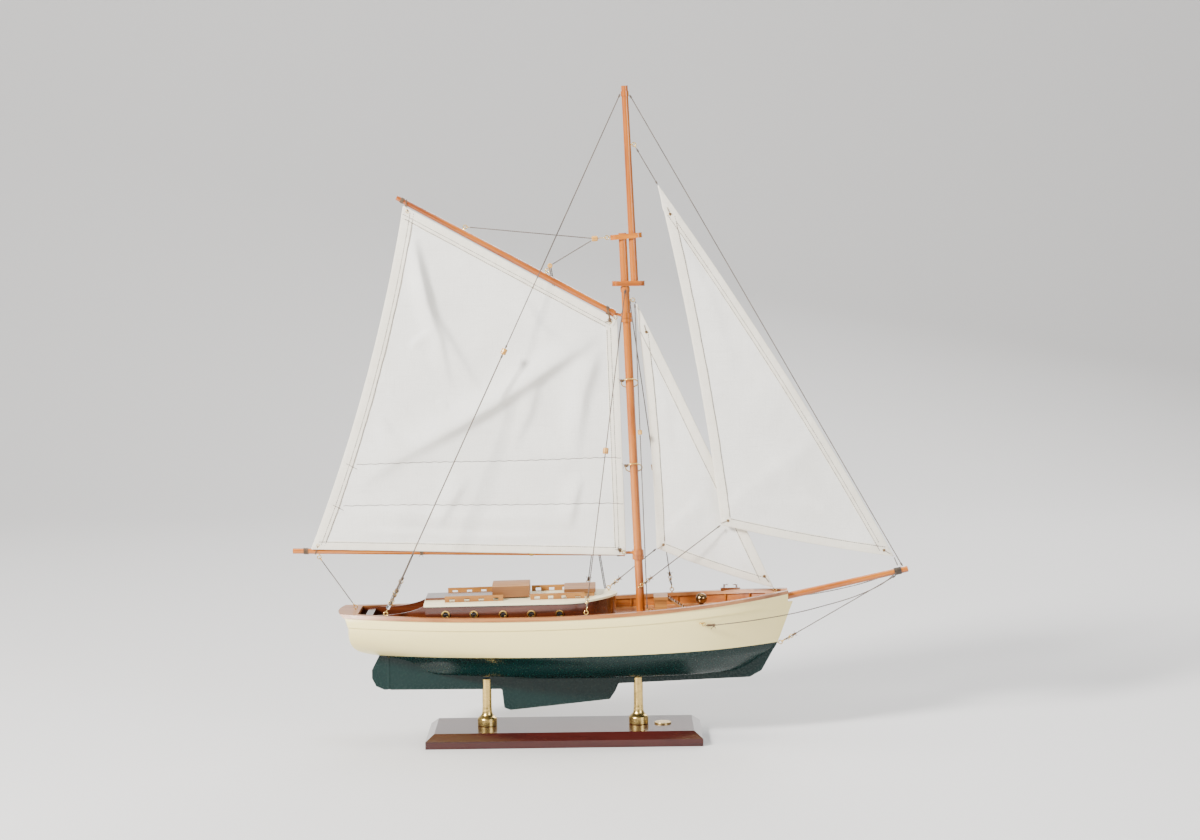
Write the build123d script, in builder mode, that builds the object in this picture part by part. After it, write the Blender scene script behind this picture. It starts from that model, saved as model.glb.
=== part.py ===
from build123d import *
import math
import os

# A gaff-rigged cutter on a display stand, in millimetres.
# Origin: centre of the base board's underside. +X to the bow, +Y to port, +Z up.

os.makedirs("parts", exist_ok=True)

# ---------------------------------------------------------------- driving dimensions
BASE_LENGTH, BASE_WIDTH, BASE_HEIGHT = 275.5, 100.0, 14.0
BASE_BEVEL_RUN, BASE_BEVEL_DROP = 8.5, 6.8
PLAQUE_X, PLAQUE_RADIUS, PLAQUE_HEIGHT = 98.8, 8.5, 1.5

PEDESTAL_AFT_X, PEDESTAL_FORE_X = -78.0, 74.5
PEDESTAL_SLOT_AFT_Z, PEDESTAL_SLOT_FORE_Z = 51.45, 55.65
PEDESTAL_TOP_Z = 62.0
ROD_RADIUS = 1.5

KEEL_THICKNESS = 6.0
RUDDER_X = -176.5
RUDDER_GAP = 0.35
STOCK_RADIUS, STOCK_BORE_RADIUS = 1.5, 1.56

PLANK = 3.0
BULWARK_HEIGHT = 12.5
RAIL_THICKNESS = 3.5
STEM_HEAD_X = 225.7
SIDE_REACH = 90.0

MAST_FOOT_X, MAST_FOOT_Z, MAST_RAKE = 79.3, 94.8, 0.03665
MAST_FOOT_RADIUS, MAST_HEAD_RADIUS = 4.35, 4.05
MAST_HEAD_Z = 507.6
BODY_GAP = 0.35

CABIN_AFT_X, CABIN_FORE_X, CABIN_SHOULDER_X = -136.0, 53.0, 0.0
CABIN_HALF_AFT, CABIN_HALF_FORE = 38.0, 43.0
CABIN_WALL = 2.5
ROOF_AFT_Z, ROOF_SLOPE, ROOF_CAMBER, ROOF_THICKNESS = 144.8, 0.019, 2.4, 2.0

THREAD = 0.45
EYE_RADIUS, WIRE = 1.9, 0.45
SHANK = 1.2
LINK_RADIUS, LINK_STEP = 1.7, 2.6
BEAD_RADIUS = 3.1
SAIL_THICKNESS = 0.8

# Lines of the hull: height, stern X, bow X, half beam, half width of the transom
WATERLINES = (
    (62.0, -92.0, 136.0, 8.0, 0.6),
    (67.0, -120.0, 168.0, 28.0, 0.6),
    (76.0, -152.0, 194.0, 43.0, 0.8),
    (87.0, -184.0, 210.0, 52.0, 4.0),
    (97.0, -208.5, 216.0, 57.0, 20.0),
    (110.0, -212.0, 221.0, 61.0, 32.0),
    (126.0, -213.5, 227.0, 64.0, 35.0),
    (152.0, -216.0, 238.0, 66.0, 36.0),
)
BEAM_X = 50.0
STERN_ROUND = 0.24
HULL_DEGREE = 7
FIT_GAP = 0.05
TAFFRAIL_X = -204.0


# ---------------------------------------------------------------- shared shapes
def save(name, part):
    part.label = name
    export_step(part, f"parts/{name}.step")


def sheer(x):
    """Height of the rail's top along the hull."""
    return 131.5 + 1.55e-4 * (x + 105.0) ** 2


def waterline(x):
    """Height of the line between the green bottom and the cream topsides."""
    return 91.3 + 0.0184 * x


def roof_centre(x):
    return ROOF_AFT_Z + ROOF_SLOPE * (x - CABIN_AFT_X)


def roof_height(x, y):
    return roof_centre(x) - ROOF_CAMBER * (y / CABIN_HALF_FORE) ** 2


def mast_x(z):
    return MAST_FOOT_X - MAST_RAKE * (z - MAST_FOOT_Z)


def mast_radius(z):
    share = (z - MAST_FOOT_Z) / (MAST_HEAD_Z - MAST_FOOT_Z)
    return MAST_FOOT_RADIUS + (MAST_HEAD_RADIUS - MAST_FOOT_RADIUS) * share


def half_breadth(x, row, inset):
    """Wanted half width of one waterline at x, moved inwards by inset."""
    _, stern, bow, beam, transom = row
    stern, bow = stern + inset, bow - 1.5 * inset
    beam, transom = beam - inset, max(transom - inset, 0.4)
    if x >= BEAM_X:
        return beam * (1 - ((x - BEAM_X) / (bow - BEAM_X)) ** 2.5)
    return beam - (beam - transom) * ((BEAM_X - x) / (BEAM_X - stern)) ** 2.3


def waterline_poles(row, inset):
    """Bezier control points of one waterline's port half, evenly spaced along the hull."""
    stern, bow = row[1] + inset, row[2] - 1.5 * inset
    pitch = (bow - stern) / HULL_DEGREE
    poles = []
    for n in range(HULL_DEGREE):
        x, share = stern + pitch * n, n / HULL_DEGREE
        y = half_breadth(x, row, inset)
        if n:
            bend = half_breadth(x - pitch, row, inset) + half_breadth(x + pitch, row, inset) - 2 * y
            y -= share * (1 - share) * HULL_DEGREE / 2 * bend
        poles.append((x, y))
    return poles + [(bow, 0.0)]


def half_width(x, row, inset):
    """Half width of one waterline at x, on its Bezier curve."""
    poles = waterline_poles(row, inset)
    share = (x - poles[0][0]) / (poles[-1][0] - poles[0][0])
    return sum(math.comb(HULL_DEGREE, n) * share ** n * (1 - share) ** (HULL_DEGREE - n) * y
               for n, (_, y) in enumerate(poles))


def side_at(x, z, inset=0.0):
    """Half width of the hull at any height, between its waterlines."""
    for lower, upper in zip(WATERLINES, WATERLINES[1:]):
        if z <= upper[0]:
            share = (z - lower[0]) / (upper[0] - lower[0])
            low, high = half_width(x, lower, inset), half_width(x, upper, inset)
            return low + (high - low) * share


def hull_form(inset=0.0):
    """The whole hull as one solid, moved inwards by inset."""
    with BuildPart() as form:
        for row in WATERLINES:
            port = waterline_poles(row, inset)
            stern, transom = port[0]
            with BuildSketch(Plane.XY.offset(row[0])):
                with BuildLine():
                    Bezier(*port)
                    Bezier(*[(x, -y) for x, y in reversed(port)])
                    Bezier((stern, -transom), (stern - STERN_ROUND * transom, 0), (stern, transom))
                make_face()
        loft()
    return form.part


def height_edge(height, start, end):
    """The graph of a height that is straight or a parabola, between two stations."""
    middle = 2 * height((start + end) / 2) - (height(start) + height(end)) / 2
    if abs(middle - (height(start) + height(end)) / 2) < 1e-6:
        return Line((start, height(start)), (end, height(end)))
    return Bezier((start, height(start)), ((start + end) / 2, middle), (end, height(end)))


def between(lower, upper, first=-235.0, last=250.0):
    """Everything between two heights given as functions of x."""
    with BuildPart() as slab:
        with BuildSketch(Plane.XZ):
            with BuildLine():
                height_edge(lower, first, last)
                Line((last, lower(last)), (last, upper(last)))
                height_edge(upper, last, first)
                Line((first, upper(first)), (first, lower(first)))
            make_face()
        extrude(amount=SIDE_REACH, both=True)
    return slab.part


def below_sheer(drop):
    return lambda x: sheer(x) - drop


def level(height):
    return lambda x: height


def block(low, high):
    """A box between two corners."""
    with BuildPart() as made:
        with BuildSketch(Plane.XY.offset(low[2])):
            with Locations(((low[0] + high[0]) / 2, (low[1] + high[1]) / 2)):
                Rectangle(high[0] - low[0], high[1] - low[1])
        extrude(amount=high[2] - low[2])
    return made.part


def common(*solids):
    with BuildPart() as made:
        add(solids[0])
        for other in solids[1:]:
            add(other, mode=Mode.INTERSECT)
    return made.part


def less(solid, *tools):
    with BuildPart() as made:
        add(solid)
        for tool in tools:
            add(tool, mode=Mode.SUBTRACT)
    return made.part


def group(*solids):
    with BuildPart() as made:
        for solid in solids:
            add(solid)
    return made.part


def spar(*stations):
    """A round tapered spar through (point, radius) stations on one straight axis."""
    axis = Vector(stations[-1][0]) - Vector(stations[0][0])
    with BuildPart() as made:
        for point, radius in stations:
            with BuildSketch(Plane(origin=point, z_dir=axis)):
                Circle(radius)
        loft()
    return made.part


def rod(start, end, radius=THREAD):
    axis = Vector(end) - Vector(start)
    with BuildPart() as made:
        with BuildSketch(Plane(origin=start, z_dir=axis)):
            Circle(radius)
        extrude(amount=axis.length)
    return made.part


def slack_line(points, radius=THREAD):
    """A line that hangs through points, with its ends at the first and last."""
    points = [Vector(point) for point in points]
    with BuildPart() as made:
        with BuildLine() as path:
            Spline(*points)
        with BuildSketch(Plane(origin=points[0], z_dir=path.line % 0)):
            Circle(radius)
        sweep()
    return made.part


def tube(start, end, inner, outer):
    return less(rod(start, end, outer), rod(start, end, inner))


def ring(centre, normal, radius=EYE_RADIUS, wire=WIRE):
    with BuildPart() as made:
        with Locations(Plane(origin=centre, z_dir=normal)):
            Torus(radius, wire)
    return made.part


def bead(centre, axis, radius=BEAD_RADIUS):
    """A barrel-shaped wooden block, bored along the line that it carries."""
    with BuildPart() as made:
        with Locations(Plane(origin=centre, z_dir=axis)):
            Cylinder(radius * 0.92, 2 * radius)
        fillet(made.edges().filter_by(GeomType.CIRCLE), radius * 0.3)
        with Locations(Plane(origin=centre, z_dir=axis)):
            Cylinder(THREAD + 0.05, 3 * radius, mode=Mode.SUBTRACT)
    return made.part


# An eye bolt stands on a foot point; a link hangs in its eye and a line leaves the link.
def eye_centre(foot, up):
    return Vector(foot) + Vector(up).normalized() * (SHANK + EYE_RADIUS)


def eye_bolt(foot, up, normal):
    top = Vector(foot) + Vector(up).normalized() * (SHANK + 0.2)
    return group(rod(foot, top, 0.6), ring(eye_centre(foot, up), normal))


def link(eye, toward, eye_normal):
    way = (Vector(toward) - eye).normalized()
    return ring(eye + way * LINK_STEP, way.cross(Vector(eye_normal)), LINK_RADIUS, 0.4)


def line_start(eye, toward):
    way = (Vector(toward) - eye).normalized()
    return eye + way * (LINK_STEP + LINK_RADIUS + 0.45)


# ---------------------------------------------------------------- stand
def pedestal(x, slot_floor):
    """A turned column with a flared foot, slotted to straddle the keel."""
    profile_plane = Plane(origin=(x, 0, 0), x_dir=(1, 0, 0), z_dir=(0, -1, 0))
    with BuildPart() as made:
        with BuildSketch(profile_plane):
            with BuildLine():
                Polyline((ROD_RADIUS, PEDESTAL_TOP_Z), (ROD_RADIUS, 14), (9.2, 14), (9.8, 14.6), (9.8, 21.0))
                Spline((9.8, 21.0), (6.6, 24.2), (5.2, 27.4), (4.9, 31.0), tangents=((-0.35, 1), (0, 1)))
                Polyline((4.9, 31.0), (4.65, 33.0), (4.65, PEDESTAL_TOP_Z - 0.6),
                         (4.05, PEDESTAL_TOP_Z), (ROD_RADIUS, PEDESTAL_TOP_Z))
            make_face()
        revolve(axis=Axis((x, 0, 0), (0, 0, 1)))
        with Locations((x, 0, slot_floor + 10)):
            Box(12, KEEL_THICKNESS, 20, mode=Mode.SUBTRACT)
    return made.part


with BuildPart() as base_board:
    with BuildSketch(Plane.XY):
        Rectangle(BASE_LENGTH, BASE_WIDTH)
    extrude(amount=BASE_HEIGHT - BASE_BEVEL_DROP)
    with BuildSketch(Plane.XY.offset(BASE_HEIGHT - BASE_BEVEL_DROP)):
        Rectangle(BASE_LENGTH, BASE_WIDTH)
    with BuildSketch(Plane.XY.offset(BASE_HEIGHT)):
        Rectangle(BASE_LENGTH - 2 * BASE_BEVEL_RUN, BASE_WIDTH - 2 * BASE_BEVEL_RUN)
    loft()
    with Locations((PEDESTAL_AFT_X, 0, BASE_HEIGHT), (PEDESTAL_FORE_X, 0, BASE_HEIGHT)):
        Hole(ROD_RADIUS)
    with BuildSketch(Plane.XY):
        with Locations((PEDESTAL_AFT_X, 0), (PEDESTAL_FORE_X, 0)):
            Circle(4.5)
    extrude(amount=3.5, mode=Mode.SUBTRACT)
save("base_board", base_board.part)

with BuildPart() as base_plaque:
    with BuildSketch(Plane.XY.offset(BASE_HEIGHT)):
        with Locations((PLAQUE_X, 0)):
            Circle(PLAQUE_RADIUS)
    extrude(amount=PLAQUE_HEIGHT)
    fillet(base_plaque.edges().group_by(Axis.Z)[-1], 0.5)
save("base_plaque", base_plaque.part)

save("pedestal_aft", pedestal(PEDESTAL_AFT_X, PEDESTAL_SLOT_AFT_Z))
save("pedestal_fore", pedestal(PEDESTAL_FORE_X, PEDESTAL_SLOT_FORE_Z))

with BuildPart() as pedestal_fixings:
    for x in (PEDESTAL_AFT_X, PEDESTAL_FORE_X):
        with BuildSketch(Plane.XY.offset(0.8)):
            with Locations((x, 0)):
                Circle(ROD_RADIUS)
        extrude(amount=59.2)
        with BuildSketch(Plane.XY.offset(1.4)):
            with Locations((x, 0)):
                RegularPolygon(3.2, 6)
                Circle(ROD_RADIUS, mode=Mode.SUBTRACT)
        extrude(amount=2.1)
save("pedestal_fixings", pedestal_fixings.part)

# ---------------------------------------------------------------- hull
outer_form = hull_form(0.0)
inner_form = hull_form(PLANK)
rods = group(rod((PEDESTAL_AFT_X, 0, 0.8), (PEDESTAL_AFT_X, 0, 60.0), ROD_RADIUS),
             rod((PEDESTAL_FORE_X, 0, 0.8), (PEDESTAL_FORE_X, 0, 60.0), ROD_RADIUS))

with BuildPart() as keel:
    with BuildSketch(Plane.XZ):
        with BuildLine():
            FilletPolyline((RUDDER_X, 51.9), (-62.6, 51.4), (-60.6, 32.3), (-54.0, 29.8), (45.7, 39.7),
                           (51.7, 48.4), (54.7, 55.6), (186.8, 60.5), (198.7, 67.0), (214.0, 94.0),
                           (190.0, 95.0), (RUDDER_X, 95.0), radius=2.0, close=True)
        make_face()
    extrude(amount=KEEL_THICKNESS / 2, both=True)
    add(outer_form, mode=Mode.SUBTRACT)
    add(rods, mode=Mode.SUBTRACT)
    add(rod((RUDDER_X, 0, 40), (RUDDER_X, 0, 100), KEEL_THICKNESS / 2 + RUDDER_GAP), mode=Mode.SUBTRACT)
save("keel", keel.part)

with BuildPart() as rudder:
    with BuildSketch(Plane.XZ):
        with BuildLine():
            FilletPolyline((RUDDER_X, 52.2), (-181.0, 52.0), (-189.3, 55.8), (-193.3, 64.0), (-193.2, 72.2),
                           (-185.0, 88.0), (RUDDER_X, 88.0), radius=1.2, close=True)
        make_face()
    extrude(amount=KEEL_THICKNESS / 2 - 0.2, both=True)
    add(rod((RUDDER_X, 0, 52.4), (RUDDER_X, 0, 88), KEEL_THICKNESS / 2))
    add(hull_form(-2.2), mode=Mode.SUBTRACT)
    add(rod((RUDDER_X, 0, 66), (RUDDER_X, 0, 100), STOCK_RADIUS), mode=Mode.SUBTRACT)
save("rudder", rudder.part)
save("rudder_stock", rod((RUDDER_X, 0, 66), (RUDDER_X, 0, 97), STOCK_RADIUS))

stock_bore = rod((RUDDER_X, 0, 60), (RUDDER_X, 0, 98.5), STOCK_BORE_RADIUS)
save("hull_bottom", less(common(outer_form, between(level(40.0), waterline)), stock_bore))

topsides = common(less(outer_form, inner_form), between(waterline, below_sheer(BULWARK_HEIGHT)))
bulwarks = common(less(hull_form(-1.0), hull_form(2.0)),
                  between(below_sheer(BULWARK_HEIGHT), below_sheer(RAIL_THICKNESS)))
rail_inside = common(hull_form(4.5), block((TAFFRAIL_X, -90, 100), (250, 90, 170)))
rail_caps = common(less(hull_form(-2.0), rail_inside), between(below_sheer(RAIL_THICKNESS), sheer))

BOWSPRIT_HEEL, BOWSPRIT_TIP = Vector(203.0, 0, 136.9), Vector(346.6, 0, 167.6)
bowsprit_part = spar((BOWSPRIT_HEEL, 3.7), (BOWSPRIT_TIP, 3.05))
sides = {"port": block((-240, 0, 0), (STEM_HEAD_X, 90, 200)),
         "stbd": block((-240, -90, 0), (STEM_HEAD_X, 0, 200))}
full_sides = {"port": block((-240, 0, 0), (260, 90, 200)), "stbd": block((-240, -90, 0), (260, 0, 200))}
for side in ("port", "stbd"):
    save(f"topside_{side}", common(topsides, full_sides[side]))
    save(f"bulwark_{side}", less(common(bulwarks, sides[side]), bowsprit_part))
    save(f"rail_cap_{side}", less(common(rail_caps, sides[side]), bowsprit_part))

POST_PITCH, POST_COUNT, POST_SIZE, POST_INSET = 24.0, 17, 1.4, 2.25
bulwark_posts = []
for n in range(POST_COUNT):
    x = -196.0 + POST_PITCH * n
    low, high = sheer(x) - BULWARK_HEIGHT, sheer(x + POST_SIZE) - RAIL_THICKNESS
    inside = min(side_at(x, low, POST_INSET), side_at(x + POST_SIZE, low, POST_INSET))
    for y in (inside - POST_SIZE, -inside):
        bulwark_posts.append(block((x, y, low + 0.3), (x + POST_SIZE, y + POST_SIZE, high - 0.3)))
save("bulwark_posts", group(*bulwark_posts))

# mast and topmast, side by side in the caps
mast_head = Vector(mast_x(MAST_HEAD_Z), 0, MAST_HEAD_Z)
mast_part = spar(((MAST_FOOT_X, 0, MAST_FOOT_Z), MAST_FOOT_RADIUS), (mast_head, MAST_HEAD_RADIUS))
TOPMAST_FOOT, TOPMAST_HEAD = Vector(75.8, 0, 455.0), Vector(67.9, 0, 653.0)
topmast_part = spar((TOPMAST_FOOT, 3.85), (TOPMAST_HEAD, 3.3))

COCKPIT_AFT_X, COCKPIT_FORE_X, COCKPIT_HALF, COCKPIT_FLOOR_Z = -202.0, -140.0, 24.0, 106.0
cockpit_hole = block((COCKPIT_AFT_X, -COCKPIT_HALF, 90), (COCKPIT_FORE_X, COCKPIT_HALF, 140))
deck_layer = between(below_sheer(BULWARK_HEIGHT + 1.6), below_sheer(BULWARK_HEIGHT))
deck_plate = common(hull_form(PLANK + FIT_GAP), deck_layer)
save("deck", less(deck_plate, cockpit_hole, mast_part))
save("cockpit_well", less(block((COCKPIT_AFT_X, -COCKPIT_HALF, COCKPIT_FLOOR_Z),
                                (COCKPIT_FORE_X, COCKPIT_HALF, 117.0)),
                          block((COCKPIT_AFT_X + 1.6, -COCKPIT_HALF + 1.6, COCKPIT_FLOOR_Z + 1.6),
                                (COCKPIT_FORE_X - 1.6, COCKPIT_HALF - 1.6, 118.0))))

bulkheads = []
for x in (-120.0, -60.0, 0.0, 50.0, 120.0, 165.0):
    low, high = waterline(x + PLANK) + 0.1, sheer(x) - BULWARK_HEIGHT - 1.8
    heights = [low + (high - low) * n / 4 for n in range(5)]
    port = [(min(side_at(x, z, PLANK + 0.4), side_at(x + PLANK, z, PLANK + 0.4)), z) for z in heights]
    with BuildPart() as bulkhead:
        with BuildSketch(Plane.YZ.offset(x)):
            Polygon(*port, *[(-y, z) for y, z in reversed(port)], align=None)
            with Locations((0, 108.0)):
                Circle(9.0, mode=Mode.SUBTRACT)
        extrude(amount=PLANK)
    bulkheads.append(bulkhead.part)
save("bulkheads", group(*bulkheads))
step_block = common(between(waterline, lambda x: waterline(x) + 7), block((67, -10, 80), (92, 10, 110)))
save("mast_step", less(step_block, mast_part))
save("bow_block", less(common(hull_form(2.0 + FIT_GAP), block((204, -40, 120), (STEM_HEAD_X, 40, 160)),
                              between(below_sheer(BULWARK_HEIGHT), below_sheer(RAIL_THICKNESS))),
                       bowsprit_part))

with BuildPart() as cockpit_coaming:
    for y in (-30.0, 28.0):
        with BuildSketch(Plane.XZ.offset(-y)):
            with BuildLine():
                aft, fore = TAFFRAIL_X + 0.5, CABIN_AFT_X
                Polyline((aft, sheer(aft) - BULWARK_HEIGHT), (fore, sheer(fore) - BULWARK_HEIGHT),
                         (fore, 142.0))
                Spline((fore, 142.0), (-142.0, 138.4), (-151.0, 135.4), (-165.0, 132.9), (aft, 130.8))
                Line((aft, 130.8), (aft, sheer(aft) - BULWARK_HEIGHT))
            make_face()
        extrude(amount=-2.0)
    add(between(level(100.0), below_sheer(BULWARK_HEIGHT)), mode=Mode.SUBTRACT)
save("cockpit_coaming", cockpit_coaming.part)
save("thwart", block((-197.0, -28.0, 128.6), (-190.0, 28.0, 130.6)))

# ---------------------------------------------------------------- cabin
def cabin_plan(overhang=0.0):
    """The cabin's outline, straight sides and a rounded front."""
    aft, fore = CABIN_AFT_X - overhang, CABIN_FORE_X + overhang
    half_aft, half_fore = CABIN_HALF_AFT + overhang, CABIN_HALF_FORE + overhang
    with BuildPart() as made:
        with BuildSketch(Plane.XY.offset(100.0)):
            with BuildLine():
                Polyline((CABIN_SHOULDER_X, half_fore), (aft, half_aft), (aft, -half_aft),
                         (CABIN_SHOULDER_X, -half_fore))
                Spline((CABIN_SHOULDER_X, -half_fore), (fore - 19, -31.5 - overhang), (fore, 0),
                       (fore - 19, 31.5 + overhang), (CABIN_SHOULDER_X, half_fore),
                       tangents=((1, 0), (-1, 0)))
            make_face()
        extrude(amount=70.0)
    return made.part


def camber_slab(low, high):
    """Everything between two offsets from the cambered roof surface."""
    slope = Vector(1, 0, ROOF_SLOPE).normalized()
    start = Vector(CABIN_AFT_X - 6, 0, roof_centre(CABIN_AFT_X - 6))
    edge = 60.0
    drop = ROOF_CAMBER * (edge / CABIN_HALF_FORE) ** 2
    with BuildPart() as made:
        with BuildSketch(Plane(origin=start, x_dir=(0, 1, 0), z_dir=slope)):
            with BuildLine():
                ThreePointArc((-edge, low - drop), (0, low), (edge, low - drop))
                Line((edge, low - drop), (edge, high - drop))
                ThreePointArc((edge, high - drop), (0, high), (-edge, high - drop))
                Line((-edge, high - drop), (-edge, low - drop))
            make_face()
        extrude(amount=205.0)
    return made.part


PORTHOLE_STATIONS = (-116.0, -88.0, -59.0, -31.0, -3.0)
PORTHOLE_Z, PORTHOLE_OUTER, PORTHOLE_INNER, PORTHOLE_PROUD = 132.8, 4.25, 3.0, 1.1
WALL_TAPER = (CABIN_HALF_FORE - CABIN_HALF_AFT) / (CABIN_SHOULDER_X - CABIN_AFT_X)
portholes = []
porthole_cuts = []
for station in PORTHOLE_STATIONS:
    wall_y = CABIN_HALF_AFT + WALL_TAPER * (station - CABIN_AFT_X)
    for side in (1, -1):
        outward = Vector(-WALL_TAPER, side, 0).normalized()
        on_wall = Vector(station, side * wall_y, PORTHOLE_Z)
        inner_end, outer_end = on_wall - outward * CABIN_WALL, on_wall + outward * PORTHOLE_PROUD
        flange = tube(on_wall, outer_end, PORTHOLE_INNER, PORTHOLE_OUTER)
        sleeve = tube(inner_end, outer_end, PORTHOLE_INNER, PORTHOLE_INNER + 0.5)
        portholes.append(group(flange, sleeve))
        porthole_cuts.append(rod(inner_end - outward * 2, outer_end, PORTHOLE_INNER + 0.5))
save("portholes", group(*portholes))

walls = less(cabin_plan(), cabin_plan(-CABIN_WALL))
walls = common(walls, camber_slab(-40.0, -ROOF_THICKNESS), between(below_sheer(BULWARK_HEIGHT), level(160.0)))
save("cabin_walls", less(walls, *porthole_cuts))
save("cabin_roof", common(cabin_plan(1.6), camber_slab(-ROOF_THICKNESS, 0.0)))

roof_slope = Vector(1, 0, ROOF_SLOPE).normalized()


def on_roof(first_x, last_x, low_y, high_y, low, high):
    """A plank lying along the roof's slope, low and high above the roof's centre line."""
    with BuildPart() as made:
        with BuildSketch(Plane(origin=(first_x, 0, roof_centre(first_x)), x_dir=(0, 1, 0), z_dir=roof_slope)):
            with Locations(((low_y + high_y) / 2, (low + high) / 2)):
                Rectangle(high_y - low_y, high - low)
        extrude(amount=last_x - first_x)
    return made.part


above_roof = camber_slab(0.0, 30.0)
RAIL_Y, RAIL_WIDTH, RAIL_TALL, RAIL_WINDOWS = 30.0, 2.6, 5.9, 4
WINDOW_WIDTH = 5.2
grab_rails = []
for first_x, last_x in ((-117.0, -59.0), (-32.0, 22.0)):
    pitch = (last_x - first_x) / RAIL_WINDOWS
    for side in (1, -1):
        y = side * RAIL_Y
        rail = on_roof(first_x, last_x, y - RAIL_WIDTH / 2, y + RAIL_WIDTH / 2, -3.0, RAIL_TALL - 1.2)
        middles = [first_x + pitch * (n + 0.5) for n in range(RAIL_WINDOWS)]
        windows = [on_roof(middle - WINDOW_WIDTH / 2, middle + WINDOW_WIDTH / 2,
                           y - RAIL_WIDTH, y + RAIL_WIDTH, -0.8, 2.3) for middle in middles]
        grab_rails.append(less(common(rail, above_roof), *windows))
save("grab_rails", group(*grab_rails))

BOARD_HALF, BOARD_TOP = 18.0, 1.9
HATCH_AFT_X, HATCH_FORE_X, HATCH_HALF, HATCH_TALL = -70.0, -33.0, 23.0, 11.0
board = on_roof(CABIN_AFT_X - 0.8, HATCH_FORE_X - 2, -BOARD_HALF, BOARD_HALF, -3.0, BOARD_TOP)
save("slide_board", common(board, above_roof))
with BuildPart() as companion_hatch:
    with BuildSketch(Plane(origin=(HATCH_AFT_X, 0, roof_centre(HATCH_AFT_X)), x_dir=(0, 1, 0),
                           z_dir=roof_slope)):
        with BuildLine():
            low, high = BOARD_TOP + BODY_GAP, BOARD_TOP + BODY_GAP + HATCH_TALL
            Polyline((-BOARD_HALF - BODY_GAP, low), (BOARD_HALF + BODY_GAP, low),
                     (BOARD_HALF + BODY_GAP, 0.9), (HATCH_HALF, 0.9), (HATCH_HALF, high - 1.6))
            ThreePointArc((HATCH_HALF, high - 1.6), (0, high), (-HATCH_HALF, high - 1.6))
            Polyline((-HATCH_HALF, high - 1.6), (-HATCH_HALF, 0.9), (-BOARD_HALF - BODY_GAP, 0.9),
                     (-BOARD_HALF - BODY_GAP, low))
        make_face()
    extrude(amount=HATCH_FORE_X - HATCH_AFT_X)
save("companion_hatch", companion_hatch.part)

FORE_HATCH_AFT_X, FORE_HATCH_FORE_X, FORE_HATCH_TALL = 1.5, 33.0, 7.0
fore_coaming = common(on_roof(FORE_HATCH_AFT_X + 1.5, FORE_HATCH_FORE_X - 1.5, -21.5, 21.5, -3.0, 3.6),
                      above_roof)
fore_lid = on_roof(FORE_HATCH_AFT_X, FORE_HATCH_FORE_X, -23.0, 23.0, 3.6, FORE_HATCH_TALL)
save("fore_hatch", group(fore_coaming, fore_lid))

# ---------------------------------------------------------------- foredeck
SCUTTLE_AFT_X, SCUTTLE_FORE_X, SCUTTLE_HALF, SCUTTLE_TOP_Z = 91.0, 105.0, 14.0, 140.6
above_deck = between(below_sheer(BULWARK_HEIGHT), level(180.0))
scuttle_box = common(block((SCUTTLE_AFT_X + 1, -SCUTTLE_HALF + 1, 120), (SCUTTLE_FORE_X - 1, SCUTTLE_HALF - 1,
                                                                         SCUTTLE_TOP_Z)), above_deck)
scuttle_lid = block((SCUTTLE_AFT_X, -SCUTTLE_HALF, SCUTTLE_TOP_Z),
                    (SCUTTLE_FORE_X, SCUTTLE_HALF, SCUTTLE_TOP_Z + 3.4))
RAMP_TOP, RAMP_FOOT = (SCUTTLE_FORE_X + 0.1, SCUTTLE_TOP_Z + 2.4), (124.0, 130.4)
ramp_bars = []
with BuildPart() as ramp_side:
    with BuildSketch(Plane.XZ.offset(9)):
        Polygon(RAMP_TOP, RAMP_FOOT, (RAMP_FOOT[0], RAMP_FOOT[1] - 1.8), (RAMP_TOP[0], RAMP_TOP[1] - 3.0),
                align=None)
    extrude(amount=1.6)
    mirror(about=Plane.XZ)
for n in range(7):
    share = (n + 0.7) / 7.4
    bar_x = RAMP_TOP[0] + (RAMP_FOOT[0] - RAMP_TOP[0]) * share
    bar_z = RAMP_TOP[1] + (RAMP_FOOT[1] - RAMP_TOP[1]) * share - 1.2
    ramp_bars.append(rod((bar_x, -9, bar_z), (bar_x, 9, bar_z), 0.7))
save("fore_scuttle", group(scuttle_box, scuttle_lid, ramp_side.part, *ramp_bars))

VENT_X, VENT_Z, VENT_RADIUS = 139.0, 140.0, 5.8
deck_at_vent = sheer(VENT_X) - BULWARK_HEIGHT
vent_neck = common(block((VENT_X - 8, -8, 120), (VENT_X + 8, 8, VENT_Z)), above_deck,
                   group(rod((VENT_X, 0, deck_at_vent - 1), (VENT_X, 0, deck_at_vent + 1.4), 4.4),
                         rod((VENT_X, 0, deck_at_vent - 1), (VENT_X, 0, VENT_Z), 2.6)))
with BuildPart() as vent_ball:
    add(vent_neck)
    with Locations((VENT_X, 0, VENT_Z)):
        Sphere(VENT_RADIUS)
save("vent_ball", vent_ball.part)

CHOCK_X = (160.0, 180.0)
chock_side, chock_z = side_at(170.0, sheer(170.0) - 1, 1.4), sheer(180.0)
with BuildPart() as bow_chock:
    add(block((CHOCK_X[0], chock_side - 1.8, sheer(160.0) + 0.05),
              (CHOCK_X[1], chock_side + 1.2, chock_z + 1.2)))
    for x, lean in ((163.5, 1), (176.5, -1)):
        add(rod((x, chock_side, chock_z + 1), (x + lean * 0.6, chock_side, chock_z + 4.4), 1.0))
        add(rod((x + lean * 0.3, chock_side, chock_z + 4.2), (x + lean * 4.2, chock_side, chock_z + 4.9),
                0.9))
        with Locations((x + lean * 0.4, chock_side, chock_z + 4.2)):
            Sphere(1.25)
save("bow_chock", less(bow_chock.part, between(below_sheer(5.0), sheer)))

# ---------------------------------------------------------------- spars
save("mast_lower", mast_part)


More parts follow.
